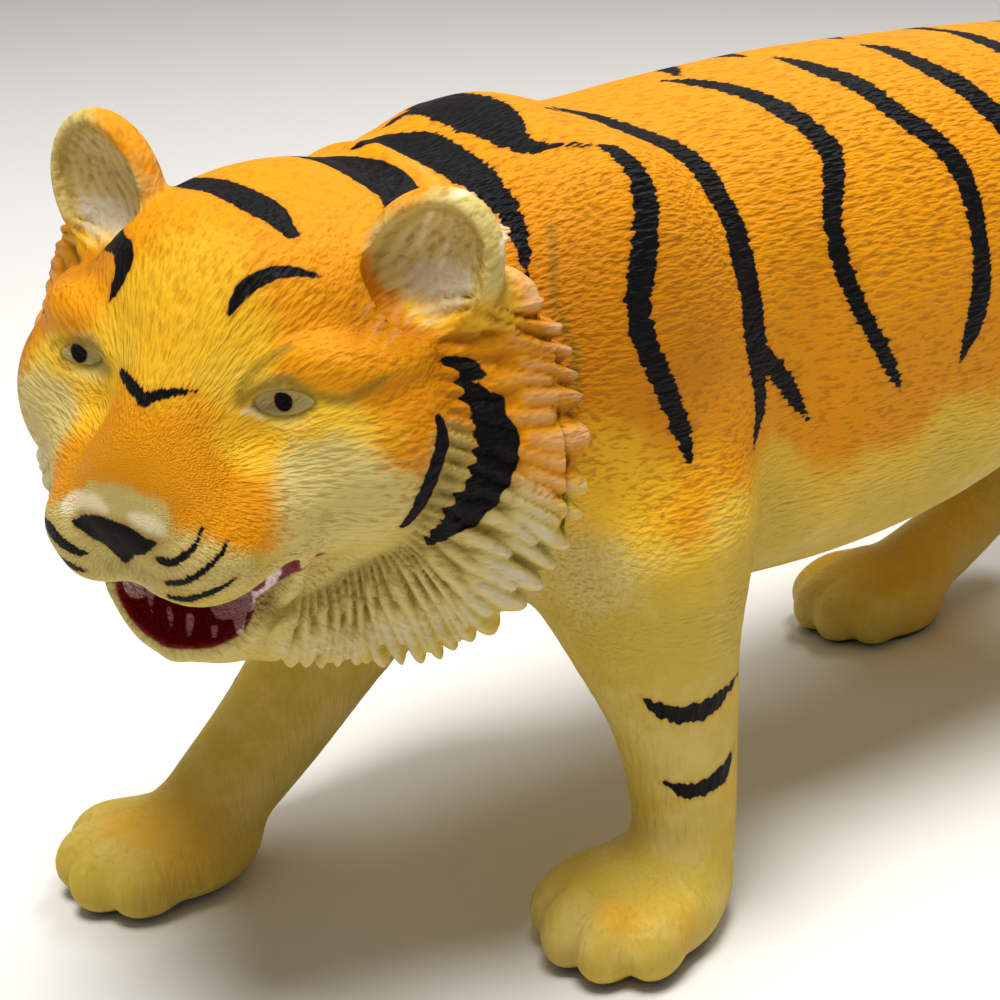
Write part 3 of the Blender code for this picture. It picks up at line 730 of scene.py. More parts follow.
def ring(stations, share, outward, round_about, thickest, taper):
    """A band round part of a limb: an arc about its bone, as wide as a power of a cosine."""
    path, at = curve(stations, 101), int(100 * share)
    middle = path[at]
    along = path[min(at + 2, 100), :3] - path[max(at - 2, 0), :3]
    along /= np.linalg.norm(along)
    outward = outward - (outward @ along) * along
    outward /= np.linalg.norm(outward)
    beside = np.cross(along, outward)
    t = np.linspace(-1, 1, 17) * round_about
    line = middle[:3] + (middle[3] + 1) * (np.cos(t)[:, None] * outward + np.sin(t)[:, None] * beside)
    half = thickest * np.cos(t * taper) ** 0.7 + 0.1
    return np.column_stack([maquette.drape(line, 0, 12), half])


for side in SIDES:
    for n, (y, low, lean) in enumerate(RUMP_STRIPES):
        if side < 0 or n > 0:
            MARKS[f"rump {side} {n}"] = hoop(y, low, side, lean)
for name, (stations, shares, shape) in RINGS.items():
    for share in shares:
        outward = np.array([0, 0.3, 1.0] if name == "tail" else [np.sign(stations[0][0]), 0.3, 0.0])
        MARKS[f"{name} ring {share}"] = ring(stations, share, outward, *shape)
print("marks in all:", len(MARKS))


# %% Distance to brushed marks
def ink_depth(points, marks):
    """For each point the least of (distance to a mark's line, less half its width there), in millimetres."""
    least = np.full(len(points), 4.0)
    for line in marks.values():
        reach = line[:, 3].max() + 3
        low, high = line[:, :3].min(0) - reach, line[:, :3].max(0) + reach
        near = np.where(((points > low) & (points < high)).all(1))[0]
        if not len(near):
            continue
        q = points[near]
        best = np.full(len(q), 4.0)
        for start, end in zip(line, line[1:]):
            run = end[:3] - start[:3]
            t = np.clip((q - start[:3]) @ run / (run @ run + 1e-9), 0, 1)
            gap = np.linalg.norm(q - start[:3] - t[:, None] * run, axis=1)
            best = np.minimum(best, gap - (start[3] + t * (end[3] - start[3])))
        least[near] = np.minimum(least[near], best)
    return least


# %% [markdown]
# ## Eyes, creases and teeth
# The small marks of the face are painted in other colours than black: a yellow-grey eyeball with a dark
# pupil, olive shade along the creases and dabs of pinkish white for teeth.

# %% Fine strokes of the face
PUPILS = {"near": (283.5, 401, 18), "far": (79, 353, 15)}
CREASES = {
    "upper lid": [(240, 403, 2), (250, 394, 4), (263, 387, 5), (276, 382, 5), (287, 380, 5), (297, 386, 5),
                  (321, 397, 5), (347, 400, 5), (366, 390, 4), (385, 378, 2)],
    "lower lid": [(256, 405, 2), (268, 413, 3), (285, 417, 4), (302, 413, 3), (314, 403, 2)],
    "valley": [(237, 402, 3), (243, 385, 5), (256, 368, 6), (272, 356, 5), (289, 347, 3)],
    "far lid": [(52, 344, 2), (66, 341, 4), (80, 341, 4), (94, 346, 3), (104, 356, 2)],
    "far lower lid": [(62, 358, 2), (74, 365, 3), (88, 366, 3), (100, 360, 2)],
    "neck seam": [(552, 226, 1), (554, 262, 2), (555, 300, 2), (566, 330, 2), (575, 360, 2), (575, 390, 2),
                  (573, 420, 1)],
}
EYEBALLS = {
    "near": [(257, 403, 4), (266, 402, 17), (284, 401, 26), (301, 401, 17), (313, 402, 4)],
    "far": [(62, 352, 4), (72, 353, 14), (84, 354, 17), (96, 357, 8)],
}
TEETH = {
    "far corner": [(128, 582, 7), (134, 588, 11), (140, 594, 8)],
    "sliver one": [(151, 587, 4), (151, 600, 6), (152, 614, 3)],
    "sliver two": [(169, 608, 3), (170, 618, 5), (171, 629, 3)],
    "sliver three": [(190, 614, 3), (190, 625, 5), (189, 636, 3)],
    "sliver four": [(214, 626, 3), (214, 632, 4), (214, 638, 3)],
    "row": [(205, 602, 9), (220, 603, 14), (234, 607, 16), (246, 603, 13), (258, 597, 10), (264, 590, 4)],
    "fang": [(238, 606, 13), (240, 618, 10), (241, 630, 5), (240, 638, 2)],
    "corner one": [(266, 588, 5), (272, 578, 7), (277, 569, 4)],
    "corner two": [(281, 566, 4), (287, 557, 6), (292, 549, 3)],
}
# Painted highlights: pale strokes on the nose pad, along the near ear's rim and hairs and under the near eye,
# where the light catches them.
HIGHLIGHTS = {
    "nose pad left": [(64, 508, 8), (74, 501, 15), (90, 501, 16), (104, 509, 9)],
    "nose pad right": [(132, 517, 8), (146, 523, 15), (158, 529, 13), (164, 534, 5)],
    "near ear rim": [(452, 196, 3), (475, 190, 7), (494, 198, 7), (503, 220, 6), (502, 250, 4)],
    "near ear hair": [(432, 214, 3), (424, 230, 5), (420, 246, 3)],
    "near ear hair two": [(448, 240, 2), (444, 254, 4), (440, 268, 2)],
    "under eye": [(243, 413, 5), (252, 411, 8), (262, 417, 4)],
}
LINES = {name: brushed(places) for name, places in CREASES.items()}
LIGHTS = {name: brushed(places) for name, places in HIGHLIGHTS.items()}
BALLS = {name: brushed(places) for name, places in EYEBALLS.items()}
DABS = {name: brushed(places) for name, places in TEETH.items()}
for name, (px, py, wide) in PUPILS.items():
    MARKS[name + " pupil"] = brushed([(px, py - 1, wide), (px, py + 1, wide)])
print("creases, eyeballs and teeth:", len(LINES), len(BALLS), len(DABS))

# %% [markdown]
# ## The airbrush
# Over the yellow-cream plastic lies orange lacquer from an airbrush, dense on the back and the head and
# fading out in soft clouds. Each cloud is a puff: a place in the picture, a reach in millimetres and a
# strength, and every puff is repeated on the other side.

# %% Puffs of the airbrush
PUFFS = {
    "orange": [(180, 190, 10, 1), (260, 190, 13, 1), (340, 200, 13, 1), (410, 240, 9, 1), (300, 250, 9, 1),
               (370, 310, 7, 1), (400, 350, 7, 1), (430, 400, 6.5, 1), (425, 445, 6, 0.9),
               (400, 480, 4, 0.6), (480, 330, 8, 1), (510, 380, 8, 1), (545, 430, 7, 0.9),
               (540, 490, 5, 0.4), (330, 350, 5, 0.6), (185, 310, 6, 0.8), (185, 420, 5, 0.6),
               (195, 465, 6, 1), (245, 475, 6, 1), (272, 520, 4, 0.8), (165, 485, 3.5, 0.8),
               (225, 525, 4, 0.7), (110, 457, 5, 1), (140, 430, 5, 1), (75, 472, 3.2, 0.8),
               (120, 480, 4, 1), (172, 510, 3, 1), (90, 300, 6, 0.8), (110, 430, 4, 0.6), (70, 480, 3, 0.6),
               (560, 250, 12, 1), (590, 330, 10, 1), (600, 420, 8, 0.6), (150, 155, 5, 1)],
    "ankle": [(618, 918, 3.2, 0.9), (690, 925, 3.0, 0.6), (650, 905, 3.0, 0.3), (140, 820, 6, 0.9),
              (180, 850, 5, 0.7), (728, 700, 3.5, 0.5), (735, 780, 3.5, 0.5), (200, 800, 6, 0.4),
              (832, 558, 6, 0.9), (880, 572, 7, 0.9), (925, 560, 8, 0.9), (955, 515, 7, 0.7),
              (935, 610, 6, 0.6)],
    # Darker orange on the flank, shoulder, temple and cheek band.
    "deep": [(370, 310, 6, 0.6), (405, 440, 6, 0.6), (440, 400, 5, 0.5), (410, 330, 6, 0.5),
             (600, 300, 12, 0.6), (700, 300, 11, 0.6), (640, 380, 10, 0.5), (560, 350, 8, 0.6),
             (560, 290, 6, 0.4), (800, 230, 9, 0.3)],
    "sun": [(482, 300, 4.5, 1), (458, 296, 4, 1), (432, 288, 3.5, 0.9), (622, 500, 8, 0.9),
            (590, 460, 7, 0.7), (710, 470, 6, 0.4), (290, 440, 5.5, 1), (245, 430, 4.5, 0.8),
            (330, 435, 4.5, 0.9), (380, 440, 4, 0.5), (210, 290, 8, 0.5), (150, 290, 5, 0.5),
            (230, 360, 5, 0.7), (440, 292, 4, 0.9), (500, 312, 3, 0.5), (90, 380, 4, 0.5),
            (120, 330, 4, 0.5), (160, 380, 4, 0.5)],
    "bare": [(345, 490, 6, 1), (320, 540, 5, 1), (380, 510, 4.5, 0.9), (310, 480, 4, 0.8),
             (122, 506, 2.0, 1), (90, 502, 2.2, 1), (150, 524, 1.8, 0.9), (60, 530, 3, 0.8),
             (185, 565, 3.6, 0.9), (130, 575, 4, 1), (232, 580, 3.2, 0.9), (280, 600, 6, 1),
             (200, 650, 7, 1), (330, 610, 8, 1), (400, 590, 8, 1), (460, 570, 8, 1), (500, 520, 6, 0.8),
             (525, 560, 5, 0.8), (590, 575, 7, 0.8), (435, 500, 4, 0.9), (455, 450, 3.6, 0.8),
             (284, 398, 3.2, 0.8), (450, 240, 4.8, 1), (478, 238, 3.6, 1), (418, 240, 4, 1),
             (398, 240, 3, 1), (402, 264, 3.2, 1), (480, 215, 4, 1), (90, 180, 6, 1), (75, 150, 5, 1)],
}


def puffs_of(name):
    """The puffs on the clay and their twins: mirrored across the head in front, across the body behind."""
    rows = np.array(PUFFS[name], float)
    places = on_clay(rows[:, :2])
    on_head = places[:, 1] < SHOULDER_Y
    twins = np.where(on_head[:, None], from_head(in_head(places) * [-1, 1, 1]), places * [-1, 1, 1])
    return np.vstack([places, twins]), np.tile(rows[:, 2], 2), np.tile(rows[:, 3], 2)


def sprayed(points, name):
    """How much lacquer covers each point: one less the product of what every puff leaves bare.

    A puff leaves 1 - strength * exp(-(distance / reach) ** 2.8), so it has a full middle and a soft edge."""
    left = np.ones(len(points))
    for place, reach, strength in zip(*puffs_of(name)):
        gap = ((points - place) ** 2).sum(1)
        left *= 1 - strength * np.exp(-(gap / reach ** 2) ** 1.4)
    return 1 - left


def ramp(value, low, high):
    """Nought below low, one above high, and a smooth step between."""
    t = np.clip((value - low) / (high - low), 0, 1)
    return t * t * (3 - 2 * t)


COAT_EDGE = [(-110, 70), (-62, 67), (-45, 60), (-25, 60), (0, 60), (30, 62), (55, 58), (80, 46), (100, 44),
             (120, 30), (160, 10)]


def body_coat(points):
    """The orange of the back and flanks, and the yellow that it thins to below a wavy line along the side."""
    x, y, z = points.T
    line = np.interp(y, *np.transpose(COAT_EDGE))
    line = line + 2.5 * np.sin(0.16 * y) + 1.5 * np.sin(0.41 * y + 0.2 * z)
    return ramp(z, line - 9, line + 9), ramp(z, line - 15, line + 2)


# %% [markdown]
# ## What the mesh carries
# The material needs to know about each point of the skin: how deep it is in ink or in the mouth, how much
# lacquer it has, whether it is a ridge or a groove, and which way the fur lies. Numpy works these out for
# all points at once, and they travel with the mesh as attributes, so they hold from any side.

# %% Ridge or groove
def relief(points, faces, rounds):
    """How far each point stands over the mean of its neighbours, after averaging a number of times."""
    smooth = points.copy()
    corner = faces.ravel()
    nexts, before = np.roll(faces, -1, 1).ravel(), np.roll(faces, 1, 1).ravel()
    count = 2 * np.bincount(corner, minlength=len(points))[:, None]

    def gathered(vectors):
        return np.stack([np.bincount(corner, column, len(points)) for column in vectors.T], 1)

    for _ in range(rounds):
        smooth = gathered(smooth[nexts] + smooth[before]) / count
    first, second, third, fourth = points[faces.T]
    normal = gathered(np.repeat(np.cross(third - first, fourth - second), 4, axis=0))
    normal /= np.linalg.norm(normal, axis=1, keepdims=True) + 1e-12
    return ((points - smooth) * normal).sum(1), normal


# %% The comb through the collar
LOCKS_AT_RUNG = [0, 2.6, 5.4, 8.2, 11.6, 13.2, 14.6, 15.8, 17, 18.2, 19.6, 21, 22.4, 23.6]
ROWS = [  # where a row starts, how long its locks are, how many to one of the rim, their height and shift
    (-0.15, 0.60, 1.5, 0.5, 0.0), (0.12, 0.76, 1.0, 0.8, 0.5), (0.42, 0.76, 1.0, 1.0, 0.0)]
LOCK_HEIGHT, TIP_REACH = 1.4, 0.7
chance = np.random.default_rng(11)


def on_collar(q):
    """Where points of the head lie on the collar: along its rim, in locks, and out from the cheek to the rim.

    Each point goes to the nearest of many rungs between the cheek line and the rim; its share of the way
    along that rung is its place outward, and the neighbours' distances refine the place along the rim."""
    count = 241
    low, high = curve(CHEEK_LINE, count), curve(RUFF_RIM, count)
    q = np.column_stack([abs(q[:, 0]), q[:, 1:]])
    gaps, outs = np.empty((len(q), count), np.float32), np.empty((len(q), count), np.float32)
    for i, (base, rim) in enumerate(zip(low, high)):
        run = rim - base
        outs[:, i] = (q - base) @ run / (run @ run)
        gaps[:, i] = ((q - base - np.clip(outs[:, i], -0.3, 1.3)[:, None] * run) ** 2).sum(1)
    best = gaps.argmin(1)
    i, rows = np.clip(best, 1, count - 2), np.arange(len(q))
    before, here, after = gaps[rows, i - 1], gaps[rows, i], gaps[rows, i + 1]
    along = i + np.clip(0.5 * (before - after) / (before - 2 * here + after + 1e-9), -1, 1)
    rungs = len(LOCKS_AT_RUNG)
    phase = np.interp(along / (count - 1) * (rungs - 1), np.arange(rungs), LOCKS_AT_RUNG)
    aim = (high - low)[best] / np.linalg.norm((high - low)[best], axis=1, keepdims=True)
    return phase, outs[rows, best], np.sqrt(gaps[rows, best]), aim


def combed(points):
    """The height of the locks, from nought in a furrow to one on a crest, and where the collar is.

    In each row a lock is as high as 1 - (its offset aside / its half width) ** 2, rises from its root to
    its tip and ends there at once, so that the next row seems to slip out from under it."""
    q = in_head(points)
    phase, out, gap, aim = on_collar(q)
    height = np.zeros(len(points))
    for start, length, often, tall, offset in ROWS:
        shift = phase * often + offset + 0.22 * np.sin(4 * out + phase)
        cell = np.floor(shift).astype(int) % 64
        first = start + chance.uniform(-0.07, 0.07, 64)[cell]
        long = length * chance.uniform(0.82, 1.12, 64)[cell]
        aside = 2 * (shift - np.floor(shift)) - 1 + chance.uniform(-0.12, 0.12, 64)[cell]
        t = np.clip((out - first) / long, 0, 1)
        wide = 1.0 - 0.45 * t ** 3
        rise = np.clip(t / 0.25, 0, 1) * (0.55 + 0.45 * t) * np.clip((1 - t) / 0.08, 0, 1)
        height = np.maximum(height, tall * rise * np.clip(1 - (aside / wide) ** 2, 0, 1))
    zone = ramp(out, -0.12, 0.1) * ramp(-out, -1.30, -1.1) * ramp(-gap, -5.0, -2.5)
    aim[:, 0] *= np.sign(q[:, 0])
    return height, zone * (points[:, 1] < SHOULDER_Y + 6), out, aim @ HEAD


def relief_of(normal, lock, collar, tips, out):
    """The locks stand up along the normal, and at the rim their tips also reach outward."""
    up = LOCK_HEIGHT * (lock - 0.4) * collar
    reach = TIP_REACH * (lock - 0.3) * collar * ramp(out, 0.75, 0.95)
    return up[:, None] * normal + reach[:, None] * tips


def ear_shell(points):
    """One on the ears, which stay free of the black marks behind them."""
    near = [np.linalg.norm((points - from_head(centre)) / [9.5, 6, 9.5], axis=1) for centre in EARS.values()]
    return ramp(1.0 - np.minimum(*near), 0.0, 0.15) * (in_head(points)[:, 2] > 5)


def in_ears(points):
    """Fine upright hairs inside the cups of the ears: a cosine across the ear, and where the cup is."""
    wave, zone = np.zeros(len(points)), np.zeros(len(points))
    for side, centre in EARS.items():
        a, b, c = ((points - from_head(centre)) @ ear_axes(side).T).T
        here = ramp(1.05 - np.hypot(a / 5.6, c / 7.6), 0, 0.25) * (b > -2.5)
        strand = (a + 0.05 * a * c + 0.3 * np.sin(c)) / 1.35
        wave = np.where(here > 0, 0.5 + 0.5 * np.cos(2 * np.pi * strand), wave)
        zone = np.maximum(zone, here)
    return wave, zone


# %% The red of the mouth
LIP_FRONT = [(0, 7.9), (4.5, 8.0), (7, 7.4), (9.5, 5.3), (12, 3.4), (13.5, 1.2), (15, -0.6)]


def mouth_depth(places):
    """Negative inside the open mouth: an ellipse and a tapering roll to its corner, behind the lips.

    The places are in the head's directions. Only what lies further back than the line of the upper lip,
    which is read from a table by its distance aside, counts as mouth."""
    a, b, c = places.T
    aside = abs(a)
    reach = np.clip((aside - 4) / 9.8, 0, 1)
    hole = (np.hypot(a / 8.6, (c + 25.2) / 5.2) - 1) * 5
    corner = np.hypot(aside - np.clip(aside, 4, 13.8), c + 24 - reach * 6.6) - (3.8 - reach * 2.4)
    front = np.where(c > -22.6, b - np.interp(aside, *np.transpose(LIP_FRONT)), -9)
    return np.maximum.reduce([np.minimum(hole, corner), -b - 9, front])


# %% What one skin carries
FAN_CENTRE = np.array([0, 9.0, -10.0])


def carried(points, faces, cell):
    """The attributes of a skin, the direction of its fur from the muzzle, and how far the comb moves it."""
    z, ahead, up = points[:, 2], *in_head(points).T[1:]
    on_head = ramp(-points[:, 1], 60, 72) * ramp(z, 44, 52)
    crest, normal = relief(points, faces, int(5 / cell))
    from_muzzle = in_head(points) - FAN_CENTRE
    far = np.linalg.norm(from_muzzle, axis=1)
    lock, collar, out, tips = combed(points)
    hair, cup = in_ears(points)
    coat, thin = body_coat(points)
    nape = ramp(-ahead, 21, 27) * ramp(up, -22, -12) * on_head
    orange = np.maximum.reduce([coat * (1 - on_head), nape, sprayed(points, "orange")])
    values = {
        "ink": ink_depth(points, MARKS) + 9 * ear_shell(points), "line": ink_depth(points, LINES),
        "eye": ink_depth(points, BALLS), "tooth": ink_depth(points, DABS), "light": ink_depth(points, LIGHTS),
        "red": mouth_depth(in_head(points)), "crest": crest * (1 - collar) * (1 - cup),
        "orange": np.clip(orange, 0, 1), "yellow": 0.7 * thin * (1 - on_head),
        "head": on_head, "far": far, "legs": 1 - ramp(z, 30, 48), "sole_and_shadow": z + 3 * np.clip(normal[:, 2], 0, 1),
        "lock": lock * collar + (0.48 + 0.16 * hair) * cup, "collar": np.maximum(collar, cup),
    }
    values |= {name: sprayed(points, name) for name in ("ankle", "deep", "sun", "bare")}
    rise = relief_of(normal, lock, collar, tips, out) + (0.1 * (hair - 0.6) * cup)[:, None] * normal
    return values, from_muzzle / far[:, None], rise


# %% Pieces
def vinyl_piece(name, points, faces, cell):
    """One piece of the toy: its mesh with the comb's relief put on along its normals, and its attributes."""
    values, fan, rise = carried(points, faces, cell)
    mesh = bpy.data.meshes.new(name)
    mesh.from_pydata(to_frame(points + rise), [], faces.tolist())
    mesh.polygons.foreach_set("use_smooth", np.ones(len(faces), bool))
    for key, value in values.items():
        mesh.attributes.new(key, "FLOAT", "POINT").data.foreach_set("value", value.astype(np.float32))
    vectors = mesh.attributes.new("fan", "FLOAT_VECTOR", "POINT")
    vectors.data.foreach_set("vector", fan.astype(np.float32).ravel())
    piece = bpy.data.objects.new(name, mesh)
    bpy.context.scene.collection.objects.link(piece)
    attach(piece, "root")
    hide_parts("tiger")
    return piece


pieces = [vinyl_piece("tiger_" + name, *SKINS[name], BLOCKS[name][2]) for name in SKINS]
print("pieces:", [p.name for p in pieces])

# %% [markdown]
# ## Shader arithmetic
# A painted toy is many masks on top of one another, and as chains of Math nodes those are hard to read.
# One small class wraps a socket, so that an expression such as 1 - mask adds the nodes by itself.

# %% The socket class
class Paint:
    """A socket of a node tree that can be reckoned with."""
    tree = None

    def __init__(self, socket):
        self.socket = socket

    @classmethod
    def node(cls, kind, settings=None, out=0, **inputs):
        """Adds a node: its settings, then a value or a link for each socket, by name or as i0, i1, i2."""
        new = cls.tree.nodes.new(kind)
        for key, value in (settings or {}).items():
            setattr(new, key, value)
        for key, value in inputs.items():
            numbered = key[0] == "i" and key[1:].isdigit()
            target = new.inputs[int(key[1:]) if numbered else key]
            if isinstance(value, Paint):
                cls.tree.links.new(value.socket, target)
            else:
                target.default_value = value
        return cls(new.outputs[out])

    def math(self, operation, other):
        return Paint.node("ShaderNodeMath", {"operation": operation}, i0=self, i1=other)

    def __add__(self, other):
        return self.math("ADD", other)

    def __mul__(self, other):
        return self.math("MULTIPLY", other)

    def __sub__(self, other):
        return self.math("SUBTRACT", other)

    def __rsub__(self, other):
        return Paint.node("ShaderNodeMath", {"operation": "SUBTRACT"}, i0=other, i1=self)

    __radd__, __rmul__ = __add__, __mul__

    def clamp(self):
        return Paint.node("ShaderNodeClamp", Value=self)

    def step(self, low, high, start=0.0, end=1.0):
        """A smooth step from start to end as the value goes from low to high."""
        return Paint.node("ShaderNodeMapRange", {"interpolation_type": "SMOOTHSTEP"},
                          Value=self, i1=low, i2=high, i3=start, i4=end)

    def over(self, colour, top):
        """The colour top laid over colour as far as this mask covers."""
        return Paint.node("ShaderNodeMix", {"data_type": "RGBA"}, 2, i0=self, i6=colour, i7=top)


def attribute(name, vector=False):
    """A value that the mesh carries, or a direction."""
    return Paint.node("ShaderNodeAttribute", {"attribute_name": name}, 1 if vector else 2)


def noise(place, scale, detail):
    """Soft noise through space, between nought and one."""
    return Paint.node("ShaderNodeTexNoise", {"noise_dimensions": "3D"},
                      Vector=place, Scale=scale, Detail=detail, Roughness=0.5)


def strands(direction, far):
    """Strokes of fur that fan out: noise over direction and distance, long along the distance."""
    return Paint.node("ShaderNodeTexNoise", {"noise_dimensions": "4D"},
                      Vector=direction, W=far, Scale=1.0, Detail=1.5)


def stretched(place, x, y, z):
    """A place or direction with each of its numbers multiplied."""
    return Paint.node("ShaderNodeVectorMath", {"operation": "MULTIPLY"}, i0=place, i1=(x, y, z))


# %% [markdown]
# ## The paint
# The paint goes on in the factory's order: two shades of plastic, yellow and orange from the airbrush, darker
# orange patches, patches left bare, painted shade in the grooves and white on the crests of the ruff, then
# painted highlights, the creases, the eyes, the black, the red and dark soles with painted shadow. Each coat
# is a mask laid over the colour so far. The fur is noise drawn out along the lie of the hair, and it frays
# the edges of the coats as well as raising the skin.

# %% Fur and mottling
vinyl = bpy.data.materials.new("painted_vinyl")
vinyl.use_nodes = True
Paint.tree = vinyl.node_tree
vinyl.node_tree.nodes.clear()
place = Paint.node("ShaderNodeTexCoord", out=3)
PER_MM = 1000.0
fur_body = noise(stretched(place, PER_MM / 0.55, PER_MM / 2.3, PER_MM / 0.55), 1.0, 1.0)
fur_legs = noise(stretched(place, PER_MM / 0.9, PER_MM / 0.9, PER_MM / 4.0), 1.0, 1.0)
fur_face = strands(stretched(attribute("fan", True), 44, 44, 44), attribute("far") * 0.55)
legs, on_head = attribute("legs"), attribute("head")
fur = fur_body + (fur_legs - fur_body) * legs
fur = fur + (fur_face - fur) * on_head
cloud, mottle, speck = noise(place, 60.0, 3.0), noise(place, 300.0, 3.0), noise(place, 1600.0, 2.0)
crest, collar, lock = attribute("crest"), attribute("collar"), attribute("lock")
fur_jitter, mottle_jitter = fur - 0.5, mottle - 0.5

# %% The colours of the paints
PLASTIC, OLIVE, CREAM = (0.56, 0.40, 0.055, 1), (0.20, 0.14, 0.01, 1), (0.62, 0.49, 0.16, 1)
PALE, DEEP = (0.92, 0.80, 0.52, 1), (0.50, 0.17, 0.001, 1)
ORANGE, BURNT, SUN = (0.76, 0.285, 0.002, 1), (0.38, 0.12, 0.001, 1), (0.86, 0.50, 0.02, 1)
BLACK, RED, WHITE = (0.003, 0.0025, 0.0025, 1), (0.24, 0.004, 0.006, 1), (0.66, 0.59, 0.42, 1)
ANKLE, SOLE_AND_SHADOW = (0.72, 0.38, 0.02, 1), (0.06, 0.035, 0.01, 1)
EYE, TOOTH = (0.42, 0.35, 0.14, 1), (0.95, 0.74, 0.70, 1)

# %% Plastic, airbrush and the bare patches
colour = (cloud * 0.6 + mottle * 0.4).step(0.42, 0.70).over(PLASTIC, CREAM)
colour = (attribute("yellow") + mottle_jitter * 0.5).clamp().over(colour, SUN)
orange = (attribute("orange") + mottle_jitter * 0.4 + fur_jitter * 0.4).step(0.25, 0.75)
colour = orange.over(colour, ORANGE)
deep = (attribute("deep") + mottle_jitter * 0.3 + fur_jitter * 0.3).clamp()
colour = (deep * orange).over(colour, DEEP)
sun = (attribute("sun") + mottle_jitter * 0.5 + fur_jitter * 0.3).step(0.2, 0.9)
colour = (sun * 0.8).over(colour, SUN)
bare = (attribute("bare") + mottle_jitter * 0.4 + fur_jitter * 0.7).step(0.15, 0.9)
colour = bare.over(colour, CREAM)
colour = (attribute("ankle") * 0.8 + mottle_jitter * 0.3).clamp().over(colour, ANKLE)

# %% Shade in the fur and dry brush on the ruff
# Painted shade: burnt orange and olive in the grooves of the fur, olive in the hollows of the clay, and in
# the furrows between the locks of the ruff and the hairs of the ears.
groove = (0.5 - fur).step(0.03, 0.14) * (1 - legs * 0.8)
colour = (groove * (orange * 0.45 + 0.03) * (1 - on_head * 0.4)).over(colour, BURNT)
colour = (groove * bare * 0.22).over(colour, OLIVE)
colour = (crest * -1).step(0.1, 0.6, 0, 0.5).over(colour, OLIVE)
colour = (crest.step(0.2, 0.7) * 0.1).over(colour, SUN)
furrow = (0.6 - lock).step(0.0, 0.45) * collar
colour = (furrow * orange * (1 - bare) * 0.7).over(colour, BURNT)
colour = (furrow * bare * 0.85).over(colour, OLIVE)
colour = (lock.step(0.5, 0.85) * collar * (bare * 0.65 + 0.3)).over(colour, WHITE)

# %% Painted highlights, creases, eyes, black, red and teeth
colour = ((attribute("light") + mottle_jitter).step(0.5, -0.4) * 0.75).over(colour, PALE)
colour = (attribute("line").step(0.9, -0.25) * 0.7).over(colour, OLIVE)
eye = attribute("eye")
colour = (eye.step(0.55, 0.0) * 0.7).over(colour, OLIVE)
colour = eye.step(0.05, -0.15).over(colour, EYE)
ragged = (fur_jitter * 1.6 + (speck - 0.5) * 0.4) * (1 - on_head * 0.55) * eye.step(0.3, 0.8)
ink_gap = attribute("ink") + ragged + (lock - 0.3) * collar * 2.2
colour = (ink_gap.step(0.9, 0.0) * 0.3).over(colour, BURNT)
colour = ink_gap.step(0.15, -0.1).over(colour, BLACK)
red = (attribute("red") + mottle_jitter * 0.4).step(0.2, -0.1)
colour = red.over(colour, RED)
colour = ((attribute("tooth") + mottle_jitter * 1.2).step(0.15, -0.15) * red).over(colour, TOOTH)
# Dark soles and painted shadow: each paw is darkened where it comes within about a millimetre and a half of
# the ground.
colour = attribute("sole_and_shadow").step(1.6, 0.9).over(colour, SOLE_AND_SHADOW)

# %% The finish
height = fur * (1 - legs * 0.25) + mottle * 0.25
bump = Paint.node("ShaderNodeBump", Height=height, Distance=0.0008, Strength=0.7)
skin = vinyl.node_tree.nodes.new("ShaderNodeBsdfPrincipled")
skin.inputs["Specular IOR Level"].default_value = 0.1
skin.inputs["Coat Roughness"].default_value = 0.25
roughness = mottle_jitter * 0.2 + 0.55
for key, value in {"Base Color": colour, "Coat Weight": red * 0.5, "Roughness": roughness,
                   "Normal": bump}.items():
    vinyl.node_tree.links.new(value.socket, skin.inputs[key])
finish = vinyl.node_tree.nodes.new("ShaderNodeOutputMaterial")
vinyl.node_tree.links.new(skin.outputs[0], finish.inputs[0])
for piece in pieces:
    piece.data.materials.append(vinyl)
print("nodes in the vinyl:", len(vinyl.node_tree.nodes))

# %% [markdown]
# ## Floor and light
# The toy stands on a white sheet under soft light from above and behind, with a pale grey wall beyond.

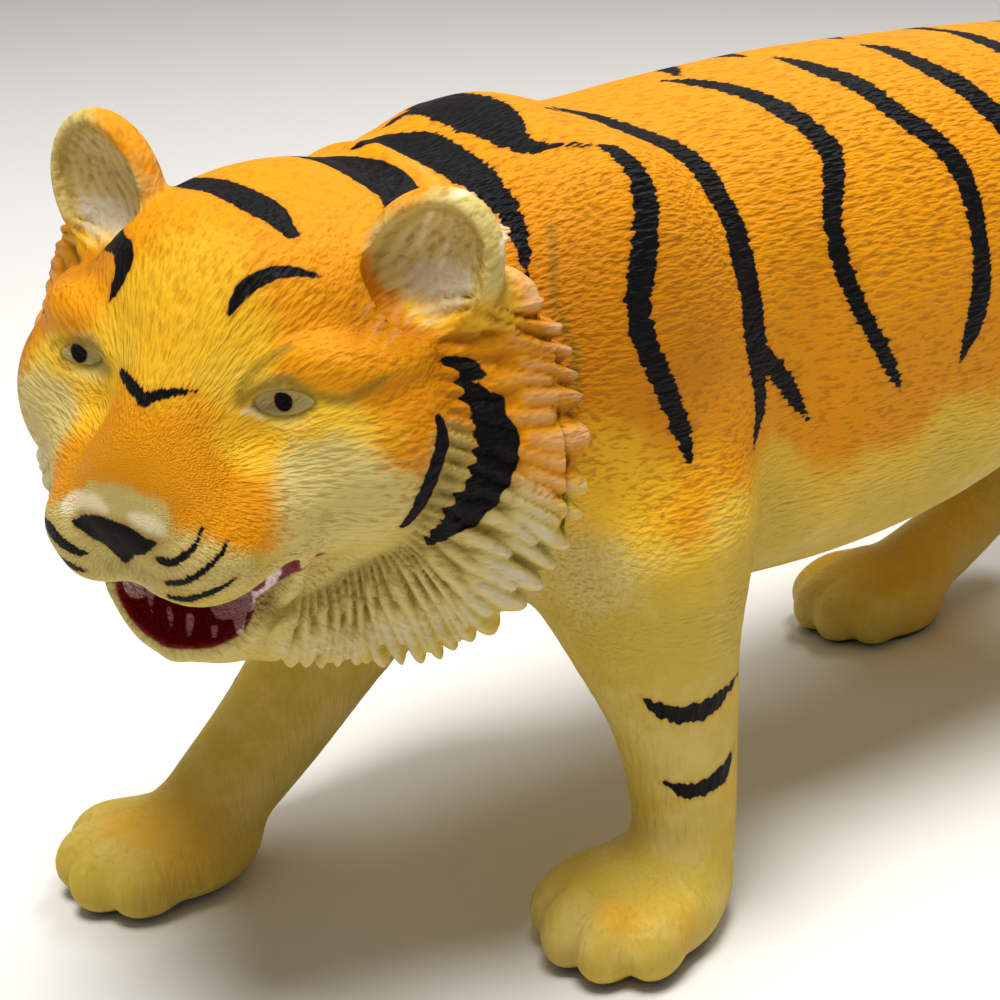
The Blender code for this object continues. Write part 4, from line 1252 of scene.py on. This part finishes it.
# %% Floor
def sheet_of_paper():
    """A level floor that bends up into a wall behind the toy, as a profile carried along a straight line."""
    across = np.array([-3.0, 3.0])
    t = np.linspace(0, 1, 24)
    run = np.concatenate([[-3.0], 0.9 + 0.35 * np.sin(t * np.pi / 2), [1.25]])
    rise = np.concatenate([[0.0], 0.35 - 0.35 * np.cos(t * np.pi / 2), [3.0]])
    grid = run[:, None, None] * LEVEL + across[None, :, None] * RIGHT
    grid[..., 2] += rise[:, None]
    quads = [(i, i + 1, i + 3, i + 2) for i in range(0, 2 * len(run) - 2, 2)]
    mesh = bpy.data.meshes.new("floor")
    mesh.from_pydata(grid.reshape(-1, 3).tolist(), [], quads)
    mesh.polygons.foreach_set("use_smooth", np.ones(len(quads), bool))
    floor = bpy.data.objects.new("floor", mesh)
    bpy.context.scene.collection.objects.link(floor)
    return floor


floor = sheet_of_paper()
paper = bpy.data.materials.new("paper")
paper.use_nodes = True
sheet = paper.node_tree.nodes["Principled BSDF"].inputs
sheet["Base Color"].default_value = (0.78, 0.765, 0.73, 1)
sheet["Roughness"].default_value = 0.9
floor.data.materials.append(paper)
print("floor of", len(floor.data.polygons), "faces")

# %% Light
def soft_lamp(name, at, towards, size, watts):
    """A round lamp that looks from one place, in metres, towards another."""
    lamp = bpy.data.lights.new(name, "AREA")
    lamp.shape, lamp.size, lamp.energy = "DISK", size, watts
    back = np.array(at, float) - np.array(towards, float)
    back /= np.linalg.norm(back)
    right = np.cross([0, 0, 1.0], back)
    right /= np.linalg.norm(right)
    return hung(name, lamp, right, np.cross(back, right), back, at)


lamps = [soft_lamp("window", (-0.10, 0.45, 0.85), (0, 0, 0.05), 0.40, 4.0),
         soft_lamp("ceiling", (0.10, -0.26, 0.95), (0, -0.03, 0.05), 0.40, 9.8)]
print("lamps:", [(lamp.name, round(lamp.data.energy, 1)) for lamp in lamps])
world = bpy.data.worlds.new("room")
world.use_nodes = True
world.node_tree.nodes["Background"].inputs[0].default_value = (1.0, 0.98, 0.95, 1)
world.node_tree.nodes["Background"].inputs[1].default_value = 0.20
bpy.context.scene.world = world
bpy.context.scene.view_settings.view_transform = "Standard"

# %% The end
bpy.context.view_layer.update()
